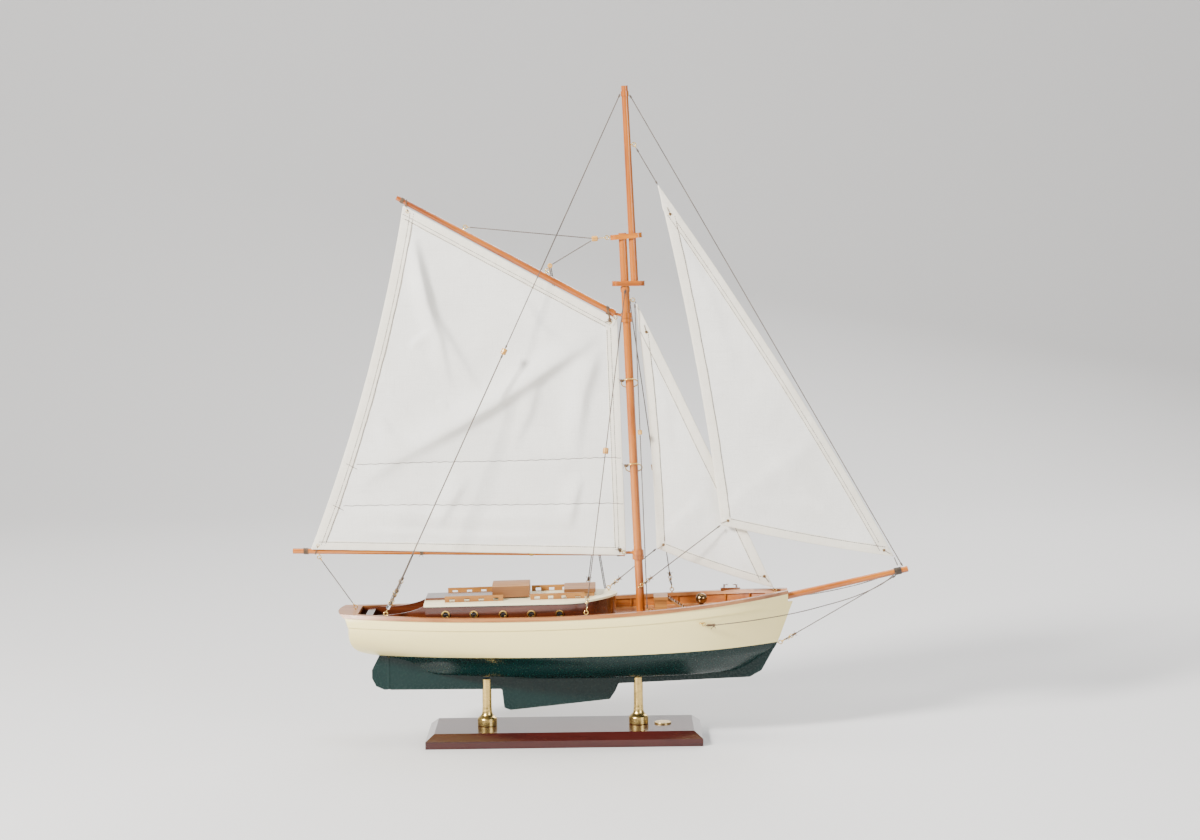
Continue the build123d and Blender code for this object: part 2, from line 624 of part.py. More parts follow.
def cap_plate(aft, fore, width, height, *holes):
    """A plate with round ends that joins the heads of two spars."""
    slope = (Vector(fore) - Vector(aft)).normalized()
    middle = (Vector(aft) + Vector(fore)) * 0.5
    plane = Plane(origin=middle - Vector(0, 0, height / 2), x_dir=slope, z_dir=slope.cross(Vector(0, 1, 0)))
    with BuildPart() as made:
        with BuildSketch(plane):
            SlotOverall((Vector(fore) - Vector(aft)).length, width)
        extrude(amount=height)
        for hole in holes:
            add(hole, mode=Mode.SUBTRACT)
    return made.part


CAP_WIDTH, CAP_HEIGHT = 12.0, 5.0
save("mast_cap_lower", cap_plate((53.2, 0, 457.5), (85.7, 0, 457.5), CAP_WIDTH, CAP_HEIGHT, mast_part,
                                 topmast_part))
save("mast_cap_upper", cap_plate((52.2, 0, 503.1), (83.8, 0, 505.6), CAP_WIDTH, CAP_HEIGHT, mast_part,
                                 topmast_part))
save("topmast", topmast_part)
save("bowsprit", bowsprit_part)

bowsprit_axis = (BOWSPRIT_TIP - BOWSPRIT_HEEL).normalized()


def on_bowsprit(x):
    return BOWSPRIT_HEEL + bowsprit_axis * ((x - BOWSPRIT_HEEL.X) / bowsprit_axis.X)


BAND_AFT_X, BAND_FORE_X, BAND_RADIUS = 333.0, 340.0, 3.75
band_part = rod(on_bowsprit(BAND_AFT_X), on_bowsprit(BAND_FORE_X), BAND_RADIUS)
save("bowsprit_band", less(band_part, bowsprit_part))

BOOM_AFT, BOOM_FORE = Vector(-270.2, 0, 193.5), Vector(62.0, 0, 187.6)
GAFF_PEAK, GAFF_THROAT = Vector(-159.6, 0, 545.6), Vector(54.9, 0, 427.8)
boom_axis = (BOOM_FORE - BOOM_AFT).normalized()
gaff_axis = (GAFF_THROAT - GAFF_PEAK).normalized()
gaff_up = Vector(-gaff_axis.Z, 0, gaff_axis.X)


def on_boom(x):
    return BOOM_AFT + boom_axis * ((x - BOOM_AFT.X) / boom_axis.X)


def on_gaff(x):
    return GAFF_PEAK + gaff_axis * ((x - GAFF_PEAK.X) / gaff_axis.X)


boom_part = spar((BOOM_AFT, 2.7), (on_boom(-100), 3.15), (BOOM_FORE, 3.0))
gaff_part = spar((GAFF_PEAK, 2.5), (on_gaff(-50), 3.3), (GAFF_THROAT, 3.1))
save("boom", boom_part)
save("gaff", gaff_part)


def mast_point(z):
    return Vector(mast_x(z), 0, z)


def spar_collar(low_z, high_z, spar_part, spar_end, axis, spar_radius):
    """A ring that turns on the mast, with a tongue and a ferrule that carry one spar."""
    middle = (low_z + high_z) / 2
    bore_radius = mast_radius(low_z) + BODY_GAP
    bore = rod(mast_point(low_z - 3), mast_point(high_z + 3), bore_radius)
    turning = rod(mast_point(low_z), mast_point(high_z), bore_radius + 1.2)
    tongue = rod(spar_end, Vector(mast_x(middle) - bore_radius - 0.4, 0, middle), 1.5)
    ferrule = rod(spar_end - axis * 5.0, spar_end + axis * 0.8, spar_radius + 0.6)
    return less(group(turning, tongue, ferrule), spar_part, bore)


save("boom_collar", spar_collar(185.0, 190.4, boom_part, BOOM_FORE, boom_axis, 3.05))
save("gaff_collar", spar_collar(423.0, 428.4, gaff_part, GAFF_THROAT, gaff_axis, 3.15))


def spar_band(start, end, radius, spar_part):
    return less(rod(start, end, radius), spar_part)


topmast_axis = (TOPMAST_HEAD - TOPMAST_FOOT).normalized()


def on_topmast(z):
    return TOPMAST_FOOT + topmast_axis * ((z - TOPMAST_FOOT.Z) / topmast_axis.Z)


MASTHEAD_Z = 645.0
save("mast_bands", group(spar_band(mast_point(181.0), mast_point(184.6), 5.9, mast_part),
                         spar_band(mast_point(419.0), mast_point(422.6), 5.7, mast_part),
                         spar_band(mast_point(449.0), mast_point(454.0), 4.7, mast_part),
                         spar_band(on_topmast(642.5), on_topmast(647.5), 3.9, topmast_part)))

HOOP_RADIUS, HOOP_WIRE, HOOP_TILT, HOOP_HEIGHTS = 8.3, 0.6, 0.7, (358.0, 273.0)
hoop_normal = Vector(-MAST_RAKE, HOOP_TILT, 1)
save("mast_hoops", group(*[ring(mast_point(z), hoop_normal, HOOP_RADIUS, HOOP_WIRE) for z in HOOP_HEIGHTS]))


# ---------------------------------------------------------------- sails
def sail(plane, corners, bulges):
    """A flat thin cloth; each edge bows sideways by its bulge, outwards when positive."""
    local = [plane.to_local_coords(Vector(corner)) for corner in corners]
    middle = sum(local, Vector(0, 0, 0)) * (1 / len(local))
    with BuildPart() as made:
        with BuildSketch(plane):
            with BuildLine():
                for n, bulge in enumerate(bulges):
                    start, end = local[n], local[(n + 1) % len(local)]
                    outward = Vector(end.Y - start.Y, start.X - end.X, 0).normalized()
                    if outward.dot((start + end) * 0.5 - middle) < 0:
                        outward = outward * -1
                    through = (start + end) * 0.5 + outward * bulge
                    if bulge:
                        ThreePointArc((start.X, start.Y), (through.X, through.Y), (end.X, end.Y))
                    else:
                        Line((start.X, start.Y), (end.X, end.Y))
            make_face()
        extrude(amount=SAIL_THICKNESS / 2, both=True)
    return made.part


def triangle_plane(head, tack, clew):
    along = Vector(tack) - Vector(head)
    return Plane(origin=head, x_dir=along, z_dir=along.cross(Vector(clew) - Vector(head)))


MAIN_Y = -4.1
MAIN_PEAK, MAIN_THROAT = (-152.7, MAIN_Y, 537.0), (57.4, MAIN_Y, 421.0)
MAIN_TACK, MAIN_CLEW = (63.4, MAIN_Y, 186.0), (-251.0, MAIN_Y, 196.0)
main_plane = Plane(origin=(0, MAIN_Y, 0), x_dir=(1, 0, 0), z_dir=(0, -1, 0))
save("mainsail", sail(main_plane, (MAIN_PEAK, MAIN_THROAT, MAIN_TACK, MAIN_CLEW), (0, 0, 0, -9.0)))

JIB_HEAD, JIB_TACK, JIB_CLEW = (100.2, -1.0, 554.1), (331.8, -0.5, 181.0), (160.0, -6.0, 215.5)
save("jib", sail(triangle_plane(JIB_HEAD, JIB_TACK, JIB_CLEW), (JIB_HEAD, JIB_TACK, JIB_CLEW),
                 (6.0, 2.0, -5.0)))

STAYSAIL_HEAD, STAYSAIL_TACK, STAYSAIL_CLEW = (77.5, 0.0, 437.0), (210.8, 0.0, 150.9), (95.4, 10.0, 191.1)
save("staysail", sail(triangle_plane(STAYSAIL_HEAD, STAYSAIL_TACK, STAYSAIL_CLEW),
                      (STAYSAIL_HEAD, STAYSAIL_TACK, STAYSAIL_CLEW), (1.0, 2.0, -3.0)))

# ---------------------------------------------------------------- fittings and rigging
UP, ACROSS = Vector(0, 0, 1), Vector(0, 1, 0)
eye_bolts, blocks, spar_fittings = [], [], []


def rail_foot(x, side):
    """The middle of the rail cap's top at x."""
    z = sheer(x)
    return Vector(x, side * (side_at(x, z) - 1.3), z)


def deck_foot(x, y):
    return Vector(x, y, sheer(x) - BULWARK_HEIGHT)


def fasten(foot, up, normal, toward, fittings=eye_bolts):
    """An eye bolt with a link; gives the point where a line that runs toward a point starts."""
    eye = eye_centre(foot, up)
    fittings.append(eye_bolt(foot, up, normal))
    fittings.append(link(eye, toward, normal))
    return line_start(eye, toward)


def threaded(start, end, share, radius=BEAD_RADIUS):
    """A straight line through one bead."""
    blocks.append(bead(start + (end - start) * share, end - start, radius))
    return rod(start, end)


# Backstays: one line from the masthead to a bead, and a doubled tackle below it.
BACKSTAY_X, BACKSTAY_BEAD, TACKLE_GAP, LOW_BEAD_RADIUS = -175.0, 0.5, 1.5, 2.3
backstays = []
for side in (1, -1):
    head = Vector(63.6, side * 1.2, MASTHEAD_Z)
    start = fasten(rail_foot(BACKSTAY_X, side), UP, ACROSS, head)
    way = (head - start).normalized()
    upper_bead, lower_bead = start + (head - start) * BACKSTAY_BEAD, start + way * LOW_BEAD_RADIUS
    blocks.append(bead(upper_bead, way))
    blocks.append(bead(lower_bead, way, LOW_BEAD_RADIUS))
    backstays.append(rod(upper_bead + way * BEAD_RADIUS, head))
    apart = way.cross(UP).normalized() * (TACKLE_GAP / 2)
    for shift in (apart, apart * -1):
        backstays.append(rod(lower_bead + way * LOW_BEAD_RADIUS + shift,
                             upper_bead - way * BEAD_RADIUS + shift))
save("backstays", group(*backstays))

SHROUD_X, SHROUD_HEAD, SHROUD_BEAD = 23.4, Vector(66.2, 5.2, 451.5), 0.49
shrouds = []
for side in (1, -1):
    head = Vector(SHROUD_HEAD.X, side * SHROUD_HEAD.Y, SHROUD_HEAD.Z)
    shrouds.append(threaded(fasten(rail_foot(SHROUD_X, side), UP, ACROSS, head), head, SHROUD_BEAD))
fore_head = Vector(70.5, 2.9, 441.0)
shrouds.append(threaded(fasten(rail_foot(111.0, 1), UP, ACROSS, fore_head), fore_head, 0.42))
save("shrouds", group(*shrouds))

save("topmast_stay", rod((341.3, 0, 170.3), (73.0, 0, 644.0)))

# Bowsprit rigging: bobstay from the stem, shrouds from the sides of the bow.
bobstay_head = Vector(334.6, 0, 160.9)
bowsprit_lines = [rod(fasten((215.2, 0, 94.6), (1, 0, 0.1), ACROSS, bobstay_head), bobstay_head)]
EYE_X, EYE_Z = 136.0, 123.0
PORT_SAG = ((226.2, 136.1), (255.8, 140.2), (291.6, 148.6), (318.4, 157.4))
STBD_SAG = ((149.2, 117.5), (189.0, 120.5), (228.8, 125.3), (260.0, 131.5), (291.5, 139.7), (318.4, 151.5))
for side, sag in ((1, PORT_SAG), (-1, STBD_SAG)):
    head = Vector(334.8, side * 4.4, 164.6)
    foot = Vector(EYE_X, side * (side_at(EYE_X, EYE_Z) + 0.25), EYE_Z)
    share = (sag[0][0] - foot.X) / (head.X - foot.X)
    first = Vector(sag[0][0], foot.Y + (head.Y - foot.Y) * share, sag[0][1])
    low = fasten(foot, (0.35, side, 0), UP, first)
    slack = [Vector(x, low.Y + (head.Y - low.Y) * (x - low.X) / (head.X - low.X), z) for x, z in sag]
    bowsprit_lines.append(slack_line([low, *slack, head]))
save("bowsprit_rigging", group(*bowsprit_lines))

# Headsails: halyards above, lashings at the tacks, sheets from the clews.
mast_front = Vector(mast_x(441.0) + mast_radius(441.0), 0, 441.0)
topmast_front = on_topmast(595.0) + Vector(3.46, 0, 0)
jib_top = Vector(JIB_HEAD) + Vector(-0.6, 0, 1.2)
jib_start = fasten(topmast_front, (1, 0, 0), ACROSS, jib_top)
staysail_eye = eye_centre(mast_front, (1, 0, 0))
eye_bolts.append(eye_bolt(mast_front, (1, 0, 0), ACROSS))
TACK_EYE_X = 213.0
staysail_tack_foot = Vector(TACK_EYE_X, 0, sheer(TACK_EYE_X) - RAIL_THICKNESS + 0.1)
eye_bolts.append(eye_bolt(staysail_tack_foot, UP, ACROSS))
tack_eye = eye_centre(staysail_tack_foot, UP)
save("headsail_halyards", group(
    rod(jib_start, jib_top),
    rod(staysail_eye + Vector(2.0, 0, -2.0), Vector(STAYSAIL_HEAD) + Vector(-0.5, 0, 1.0), 0.4),
    rod(Vector(332.9, -0.4, 179.2), Vector(336.4, 0, 171.0), 0.4),
    rod(tack_eye + Vector(-0.6, 0, 2.5), Vector(STAYSAIL_TACK) + Vector(0.6, 0, -0.9), 0.4)))

MAST_EYE_Z, ROOF_EYE = 154.0, Vector(46.0, 10.0, 0)
mast_side = mast_point(MAST_EYE_Z) + Vector(0, -mast_radius(MAST_EYE_Z), 0)
jib_corner = Vector(JIB_CLEW) + Vector(-1.4, -0.1, -0.9)
staysail_corner = Vector(STAYSAIL_CLEW) + Vector(-1.0, 0.1, -1.3)
roof_foot = Vector(ROOF_EYE.X, ROOF_EYE.Y, roof_height(ROOF_EYE.X, ROOF_EYE.Y))
save("headsail_sheets", group(rod(fasten(mast_side, (0, -1, 0), UP, jib_corner), jib_corner),
                              rod(fasten(roof_foot, UP, ACROSS, staysail_corner), staysail_corner)))

fall_head, fall_foot = Vector(75.6, -3.6, 437.0), deck_foot(84.5, -10.0)
fall_start = fasten(fall_foot, UP, ACROSS, fall_head)
save("mast_halyard", threaded(fall_start, fall_head, 0.58, 2.4))
eye_bolts.append(eye_bolt(deck_foot(88.0, 6.0), UP, ACROSS))

# Peak halyard: from the gaff to a bead behind the upper cap, back to the gaff, and down to the port rail.
cap_eye_foot = Vector(51.8, 0, 503.2)
cap_bead = Vector(36.6, 0, 502.4)
short_start = fasten(cap_eye_foot, (-1, 0, 0.05), ACROSS, cap_bead)
peak_foot = on_gaff(-95.0) + gaff_up * 3.25
staple_foot = on_gaff(-14.0) + gaff_up * 3.4
blocks.append(bead(cap_bead, short_start - cap_bead))
blocks.append(rod(short_start, cap_bead + (short_start - cap_bead).normalized() * (BEAD_RADIUS + 0.1), 0.4))
peak_start = fasten(peak_foot, gaff_up, ACROSS, cap_bead, spar_fittings)
peak_way = (cap_bead - peak_start).normalized()
gaff_bead = eye_centre(staple_foot, gaff_up) + gaff_up * 5.4
spar_fittings.append(eye_bolt(staple_foot, gaff_up, ACROSS))
spar_fittings.append(bead(gaff_bead, ACROSS, 2.8))
return_way = (gaff_bead - cap_bead).normalized()
fall_foot = rail_foot(43.3, 1) + Vector(0, 0.9, 0)
fall_top = gaff_bead + Vector(0, 3.6, 0)
fall_low = fasten(fall_foot, UP, ACROSS, fall_top)
peak_lines = [rod(peak_start, cap_bead - peak_way * (BEAD_RADIUS + 0.2)),
              rod(cap_bead + return_way * (BEAD_RADIUS * 1.25), gaff_bead - return_way * 3.0)]
for shift in (Vector(0.7, 0, 0), Vector(-0.7, 0, 0)):
    peak_lines.append(rod(fall_low + shift, fall_top + shift, 0.4))
save("peak_halyard", group(*peak_lines))

# Mainsheet: from under the boom to the taffrail.
sheet_foot = on_boom(-244.0) + Vector(0, 0, -2.9)
sheet_eye, taffrail_foot = eye_centre(sheet_foot, UP * -1), Vector(-208.5, 0, sheer(-208.5))
sheet_low = fasten(taffrail_foot, UP, ACROSS, sheet_eye)
sheet_high = fasten(sheet_foot, UP * -1, ACROSS, sheet_low, spar_fittings)
save("mainsheet", rod(sheet_low, sheet_high))
spar_fittings.append(spar_band(on_boom(-33.0), on_boom(-29.0), 3.7, boom_part))

save("eye_bolts", group(*eye_bolts))
save("blocks", group(*blocks))
save("spar_fittings", group(*spar_fittings))
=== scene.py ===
"""Looks of a gaff-rigged cutter on its display stand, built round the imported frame.

Metres, in the frame's own axes: +X to the bow, +Y to port, +Z up.
"""
import math

import bmesh
import bpy
import numpy as np
from mathutils import Matrix, Vector


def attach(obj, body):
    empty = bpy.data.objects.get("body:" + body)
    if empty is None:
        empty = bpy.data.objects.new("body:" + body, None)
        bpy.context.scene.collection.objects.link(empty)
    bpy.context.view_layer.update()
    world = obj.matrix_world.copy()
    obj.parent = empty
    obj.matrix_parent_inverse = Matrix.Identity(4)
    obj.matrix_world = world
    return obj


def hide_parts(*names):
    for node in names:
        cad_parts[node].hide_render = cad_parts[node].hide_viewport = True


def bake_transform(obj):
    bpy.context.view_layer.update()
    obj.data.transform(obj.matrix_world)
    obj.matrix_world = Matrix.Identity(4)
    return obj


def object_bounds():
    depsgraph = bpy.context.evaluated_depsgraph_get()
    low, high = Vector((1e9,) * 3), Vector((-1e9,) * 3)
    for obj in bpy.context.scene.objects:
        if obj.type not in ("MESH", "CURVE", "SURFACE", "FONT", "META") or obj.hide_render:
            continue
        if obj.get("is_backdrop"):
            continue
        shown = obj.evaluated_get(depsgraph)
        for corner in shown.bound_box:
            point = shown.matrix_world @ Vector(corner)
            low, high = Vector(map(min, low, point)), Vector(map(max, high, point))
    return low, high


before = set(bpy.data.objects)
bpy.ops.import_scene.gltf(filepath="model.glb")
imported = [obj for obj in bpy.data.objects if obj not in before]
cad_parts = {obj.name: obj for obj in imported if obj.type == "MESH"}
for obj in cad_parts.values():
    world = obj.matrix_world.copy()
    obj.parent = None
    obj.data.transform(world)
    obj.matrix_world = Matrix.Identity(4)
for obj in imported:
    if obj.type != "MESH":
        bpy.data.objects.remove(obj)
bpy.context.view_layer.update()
MM = 0.001
HULL, RIG = "hull", "main_rig"


# ------------------------------------------------------------------ camera, floor and light
def set_camera():
    """A long lens from the starboard side, a little above the deck, with the picture's slight roll."""
    distance, height = 2.7, 0.54
    target = Vector((0.0395, 0.0, 0.3214))
    place = Vector((target.x, -distance, height))
    forward = (target - place).normalized()
    roll = math.radians(0.75)
    across = Vector((math.cos(roll), 0.0, -math.sin(roll)))
    up = across.cross(forward).normalized()
    across = forward.cross(up).normalized()
    data = bpy.data.cameras.new("camera")
    data.sensor_width = 36.0
    data.lens = 81.3
    data.clip_end = 50.0
    camera = bpy.data.objects.new("camera", data)
    bpy.context.collection.objects.link(camera)
    rotation = Matrix((across, up, -forward)).transposed().to_4x4()
    camera.matrix_world = Matrix.Translation(place) @ rotation
    bpy.context.scene.camera = camera


def set_stage():
    """A pale floor that curves up into a pale backdrop."""
    profile = [(-24.0, 0.0), (2.0, 0.0)]
    radius = 1.6
    for n in range(1, 13):
        angle = math.pi / 2 * n / 12
        profile.append((2.0 + radius * math.sin(angle), radius * (1 - math.cos(angle))))
    profile.append((2.0 + radius, 7.0))
    mesh = bpy.data.meshes.new("floor")
    verts = [(x, y, z - 0.0002) for y, z in profile for x in (-20.0, 20.0)]
    faces = [(2 * n, 2 * n + 1, 2 * n + 3, 2 * n + 2) for n in range(len(profile) - 1)]
    mesh.from_pydata(verts, [], faces)
    for face in mesh.polygons:
        face.use_smooth = True
    floor = bpy.data.objects.new("floor", mesh)
    bpy.context.collection.objects.link(floor)
    material = bpy.data.materials.new("floor")
    material.use_nodes = True
    shader = material.node_tree.nodes["Principled BSDF"]
    shader.inputs["Base Color"].default_value = (0.72, 0.71, 0.70, 1)
    shader.inputs["Roughness"].default_value = 0.6
    mesh.materials.append(material)
    floor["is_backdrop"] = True


def add_area_light(name, place, target, size, power, tint=(1, 1, 1)):
    data = bpy.data.lights.new(name, "AREA")
    data.shape = "RECTANGLE"
    data.size, data.size_y = size
    data.energy = power
    data.color = tint
    light = bpy.data.objects.new(name, data)
    light.location = place
    light.rotation_euler = (Vector(target) - Vector(place)).to_track_quat("-Z", "Y").to_euler()
    bpy.context.collection.objects.link(light)


def set_lights():
    middle = (0.0, 0.0, 0.3)
    add_area_light("key", (-2.2, -1.95, 1.85), middle, (0.6, 0.6), 320, (1.0, 0.98, 0.95))
    add_area_light("fill", (2.4, -2.4, 1.3), middle, (1.6, 1.6), 58, (0.97, 0.98, 1.0))
    add_area_light("top", (0.1, 0.2, 2.6), middle, (2.0, 1.4), 44)
    add_area_light("back", (0.8, 2.2, 1.5), middle, (1.6, 1.2), 42)
    world = bpy.data.worlds.new("world")
    world.use_nodes = True
    background = world.node_tree.nodes["Background"]
    background.inputs["Color"].default_value = (0.80, 0.82, 0.85, 1)
    background.inputs["Strength"].default_value = 0.34
    bpy.context.scene.world = world


set_camera()
set_stage()
set_lights()


# ------------------------------------------------------------------ materials
class Shader:
    """A principled material and short ways to add nodes to it."""

    def __init__(self, name, colour, roughness=0.5, **sockets):
        self.material = bpy.data.materials.new(name)
        self.material.use_nodes = True
        self.tree = self.material.node_tree
        self.surface = self.tree.nodes["Principled BSDF"]
        self.surface.inputs["Base Color"].default_value = (*colour, 1)
        self.surface.inputs["Roughness"].default_value = roughness
        for socket, value in sockets.items():
            self.surface.inputs[socket.replace("_", " ")].default_value = value
        self.place = self.tree.nodes.new("ShaderNodeTexCoord").outputs["Object"]

    def node(self, kind, **settings):
        made = self.tree.nodes.new("ShaderNode" + kind)
        for key, value in settings.items():
            setattr(made, key, value)
        return made

    def wire(self, source, target):
        self.tree.links.new(source, target)

    def stretched(self, along, scale, across=1.0):
        """Coordinates in which one metre along a direction counts as scale, and across it as across."""
        mapping = self.node("Mapping", vector_type="POINT")
        turn = Vector(along).normalized().rotation_difference(Vector((1, 0, 0)))
        mapping.inputs["Rotation"].default_value = turn.to_euler()
        self.wire(self.place, mapping.inputs["Vector"])
        squeeze = self.node("VectorMath", operation="MULTIPLY")
        squeeze.inputs[1].default_value = (scale, across, across)
        self.wire(mapping.outputs["Vector"], squeeze.inputs[0])
        return squeeze.outputs["Vector"]

    def noise(self, vector, scale, detail=4.0, roughness=0.55, distortion=0.0):
        made = self.node("TexNoise")
        made.inputs["Scale"].default_value = scale
        made.inputs["Detail"].default_value = detail
        made.inputs["Roughness"].default_value = roughness
        made.inputs["Distortion"].default_value = distortion
        self.wire(vector, made.inputs["Vector"])
        return made.outputs["Fac"]

    def wave(self, vector, scale, distortion):
        made = self.node("TexWave", bands_direction="X", wave_profile="SIN")
        made.inputs["Scale"].default_value = scale
        made.inputs["Distortion"].default_value = distortion
        made.inputs["Detail"].default_value = 2.0
        self.wire(vector, made.inputs["Vector"])
        return made.outputs["Fac"]

    def ramp(self, value, *stops):
        """A colour ramp through (position, colour) stops."""
        made = self.node("ValToRGB")
        elements = made.color_ramp.elements
        while len(elements) < len(stops):
            elements.new(0.5)
        for element, (position, colour) in zip(elements, stops):
            element.position = position
            element.color = (*colour, 1)
        self.wire(value, made.inputs["Fac"])
        return made.outputs["Color"]

    def spread(self, value, low, high, new_low=0.0, new_high=1.0):
        made = self.node("MapRange")
        for slot, number in zip(("From Min", "From Max", "To Min", "To Max"), (low, high, new_low, new_high)):
            made.inputs[slot].default_value = number
        self.wire(value, made.inputs["Value"])
        return made.outputs["Result"]

    def maths(self, operation, first, second=0.0):
        made = self.node("Math", operation=operation)
        for slot, value in zip(made.inputs, (first, second)):
            if isinstance(value, (int, float)):
                slot.default_value = value
            else:
                self.wire(value, slot)
        return made.outputs["Value"]

    def mix(self, factor, first, second):
        made = self.node("Mix", data_type="RGBA", blend_type="MIX")
        for slot, value in zip((made.inputs[0], made.inputs[6], made.inputs[7]), (factor, first, second)):
            if isinstance(value, (int, float)):
                slot.default_value = value
            elif isinstance(value, tuple):
                slot.default_value = (*value, 1)
            else:
                self.wire(value, slot)
        return made.outputs[2]

    def colour(self, source):
        self.wire(source, self.surface.inputs["Base Color"])

    def roughness(self, source):
        self.wire(source, self.surface.inputs["Roughness"])

    def bump(self, height, strength, distance):
        made = self.node("Bump")
        made.inputs["Strength"].default_value = strength
        made.inputs["Distance"].default_value = distance
        self.wire(height, made.inputs["Height"])
        last = self.surface.inputs["Normal"]
        if last.is_linked:
            self.wire(last.links[0].from_socket, made.inputs["Normal"])
        self.wire(made.outputs["Normal"], last)


def wood(name, light, middle, dark, along=(1, 0, 0), roughness=0.3, coat=0.5, figure=1.0, **more):
    """Varnished timber with long fibres, slow colour bands and fine pores along one direction."""
    made = Shader(name, middle, roughness, Coat_Weight=coat, Coat_Roughness=0.12, **more)
    bands = made.noise(made.stretched(along, 7.0, 95.0 * figure), 1.0, 5.0, 0.6, 0.6)
    fibres = made.noise(made.stretched(along, 22.0, 900.0), 1.0, 4.0, 0.65)
    blotches = made.noise(made.place, 14.0, 3.0)
    ground = made.ramp(made.spread(bands, 0.3, 0.72), (0.0, dark), (0.45, middle), (1.0, light))
    streaked = made.mix(made.spread(fibres, 0.35, 0.75, 0.0, 0.45), ground, dark)
    made.colour(made.mix(made.spread(blotches, 0.35, 0.7, 0.0, 0.25), streaked, light))
    made.roughness(made.spread(fibres, 0.3, 0.7, roughness * 0.8, roughness * 1.3))
    made.bump(fibres, 0.12, 0.0003)
    return made


def metal(name, colour, roughness, along=None, tarnish=(0.25, 0.17, 0.08)):
    """Polished metal with fine turning marks or scratches and a little tarnish."""
    made = Shader(name, colour, roughness, Metallic=1.0)
    spots = made.noise(made.place, 160.0, 5.0, 0.65)
    made.colour(made.mix(made.spread(spots, 0.5, 0.8, 0.0, 0.45), colour, tarnish))
    if along:
        marks = made.noise(made.stretched(along, 2600.0, 40.0), 1.0, 2.0)
    else:
        marks = made.noise(made.place, 900.0, 2.0)
    dull = made.maths("MULTIPLY", marks, spots)
    made.roughness(made.spread(dull, 0.1, 0.4, roughness * 0.7, roughness * 1.5))
    made.bump(marks, 0.08, 0.0002)
    return made


def paint(name, colour, shade, roughness, coat, shine=0.5):
    """Brushed enamel: slow tint changes and an orange-peel surface."""
    made = Shader(name, colour, roughness, Coat_Weight=coat, Coat_Roughness=0.08, Specular_IOR_Level=shine)
    tint = made.noise(made.stretched((1, 0, 0), 3.0, 18.0), 1.0, 3.0)
    speck = made.noise(made.place, 420.0, 3.0)
    toned = made.mix(made.spread(tint, 0.35, 0.7), colour, shade)
    made.colour(made.mix(made.spread(speck, 0.4, 0.8, 0.0, 0.10), toned, shade))
    made.roughness(made.spread(speck, 0.3, 0.7, roughness * 0.85, roughness * 1.2))
    made.bump(made.noise(made.place, 130.0, 2.0), 0.05, 0.0006)
    return made


def planked(made, spacing, seam):
    """Adds narrow dark seams between planks laid fore and aft."""
    split = made.node("SeparateXYZ")
    made.wire(made.place, split.inputs["Vector"])
    share = made.maths("FRACT", made.maths("DIVIDE", split.outputs["Y"], spacing))
    edge = made.maths("ABSOLUTE", made.maths("SUBTRACT", share, 0.5))
    line = made.spread(edge, 0.5 - 0.32 * MM / spacing, 0.5 - 0.12 * MM / spacing)
    old = made.surface.inputs["Base Color"].links[0].from_socket
    made.colour(made.mix(line, old, seam))
    made.bump(made.maths("SUBTRACT", 1.0, line), 0.5, 0.0003)
    return made


def cloth(name, colour, shade):
    """Plain-woven cotton: crossed threads, slubs and faint handling marks."""
    made = Shader(name, colour, 0.92, Sheen_Weight=0.25, Sheen_Roughness=0.5)
    made.surface.inputs["Subsurface Weight"].default_value = 0.05
    made.surface.inputs["Subsurface Radius"].default_value = (0.004, 0.0035, 0.003)
    made.surface.inputs["Subsurface Scale"].default_value = 0.5
    warp = made.wave(made.stretched((1, 0, 0), 1.0, 0.04), 420.0, 1.2)
    weft = made.wave(made.stretched((0, 0, 1), 1.0, 0.04), 420.0, 1.2)
    weave = made.maths("ADD", made.maths("MULTIPLY", warp, 0.5), made.maths("MULTIPLY", weft, 0.5))
    slubs = made.maths("MAXIMUM", made.noise(made.stretched((1, 0, 0), 60.0, 1500.0), 1.0, 2.0),
                       made.noise(made.stretched((0, 0, 1), 60.0, 1500.0), 1.0, 2.0))
    clouds = made.noise(made.place, 22.0, 4.0)
    mottle = made.noise(made.place, 700.0, 2.0)
    base = made.mix(made.spread(clouds, 0.35, 0.7, 0.0, 0.5), colour, shade)
    threads = made.mix(made.spread(weave, 0.2, 0.9, 0.22, 0.0), base, shade)
    fine = made.mix(made.spread(mottle, 0.35, 0.75, 0.0, 0.35), threads, shade)
    coarse = made.maths("MAXIMUM", made.noise(made.stretched((1, 0, 0), 34.0, 620.0), 1.0, 3.0),
                        made.noise(made.stretched((0, 0, 1), 34.0, 620.0), 1.0, 3.0))
    streaked = made.mix(made.spread(slubs, 0.56, 0.78, 0.0, 0.6), fine, shade)
    made.colour(made.mix(made.spread(coarse, 0.56, 0.74, 0.0, 0.5), streaked, shade))
    made.bump(made.maths("ADD", weave, slubs), 0.5, 0.00035)
    return made


def cord_yarn(name, colour, dark):
    """Dull twisted yarn with a little colour change along its length."""
    made = Shader(name, colour, 0.85, Sheen_Weight=0.3)
    fuzz = made.noise(made.place, 2200.0, 3.0)
    slow = made.noise(made.place, 60.0, 2.0)
    made.colour(made.mix(made.spread(made.maths("MULTIPLY", fuzz, slow), 0.15, 0.4), dark, colour))
    made.bump(fuzz, 0.3, 0.0001)
    return made


CREAM, CREAM_SHADE = (0.95, 0.81, 0.36), (0.90, 0.75, 0.31)
SPAR = ((0.60, 0.205, 0.014), (0.43, 0.108, 0.006), (0.18, 0.032, 0.002))
RAIL = ((0.52, 0.230, 0.075), (0.37, 0.140, 0.040), (0.18, 0.055, 0.015))
MAHOGANY = ((0.150, 0.034, 0.010), (0.068, 0.013, 0.0045), (0.020, 0.005, 0.002))
GOLDEN = ((0.44, 0.205, 0.040), (0.30, 0.118, 0.018), (0.15, 0.048, 0.007))
BRASS = (0.66, 0.47, 0.16)

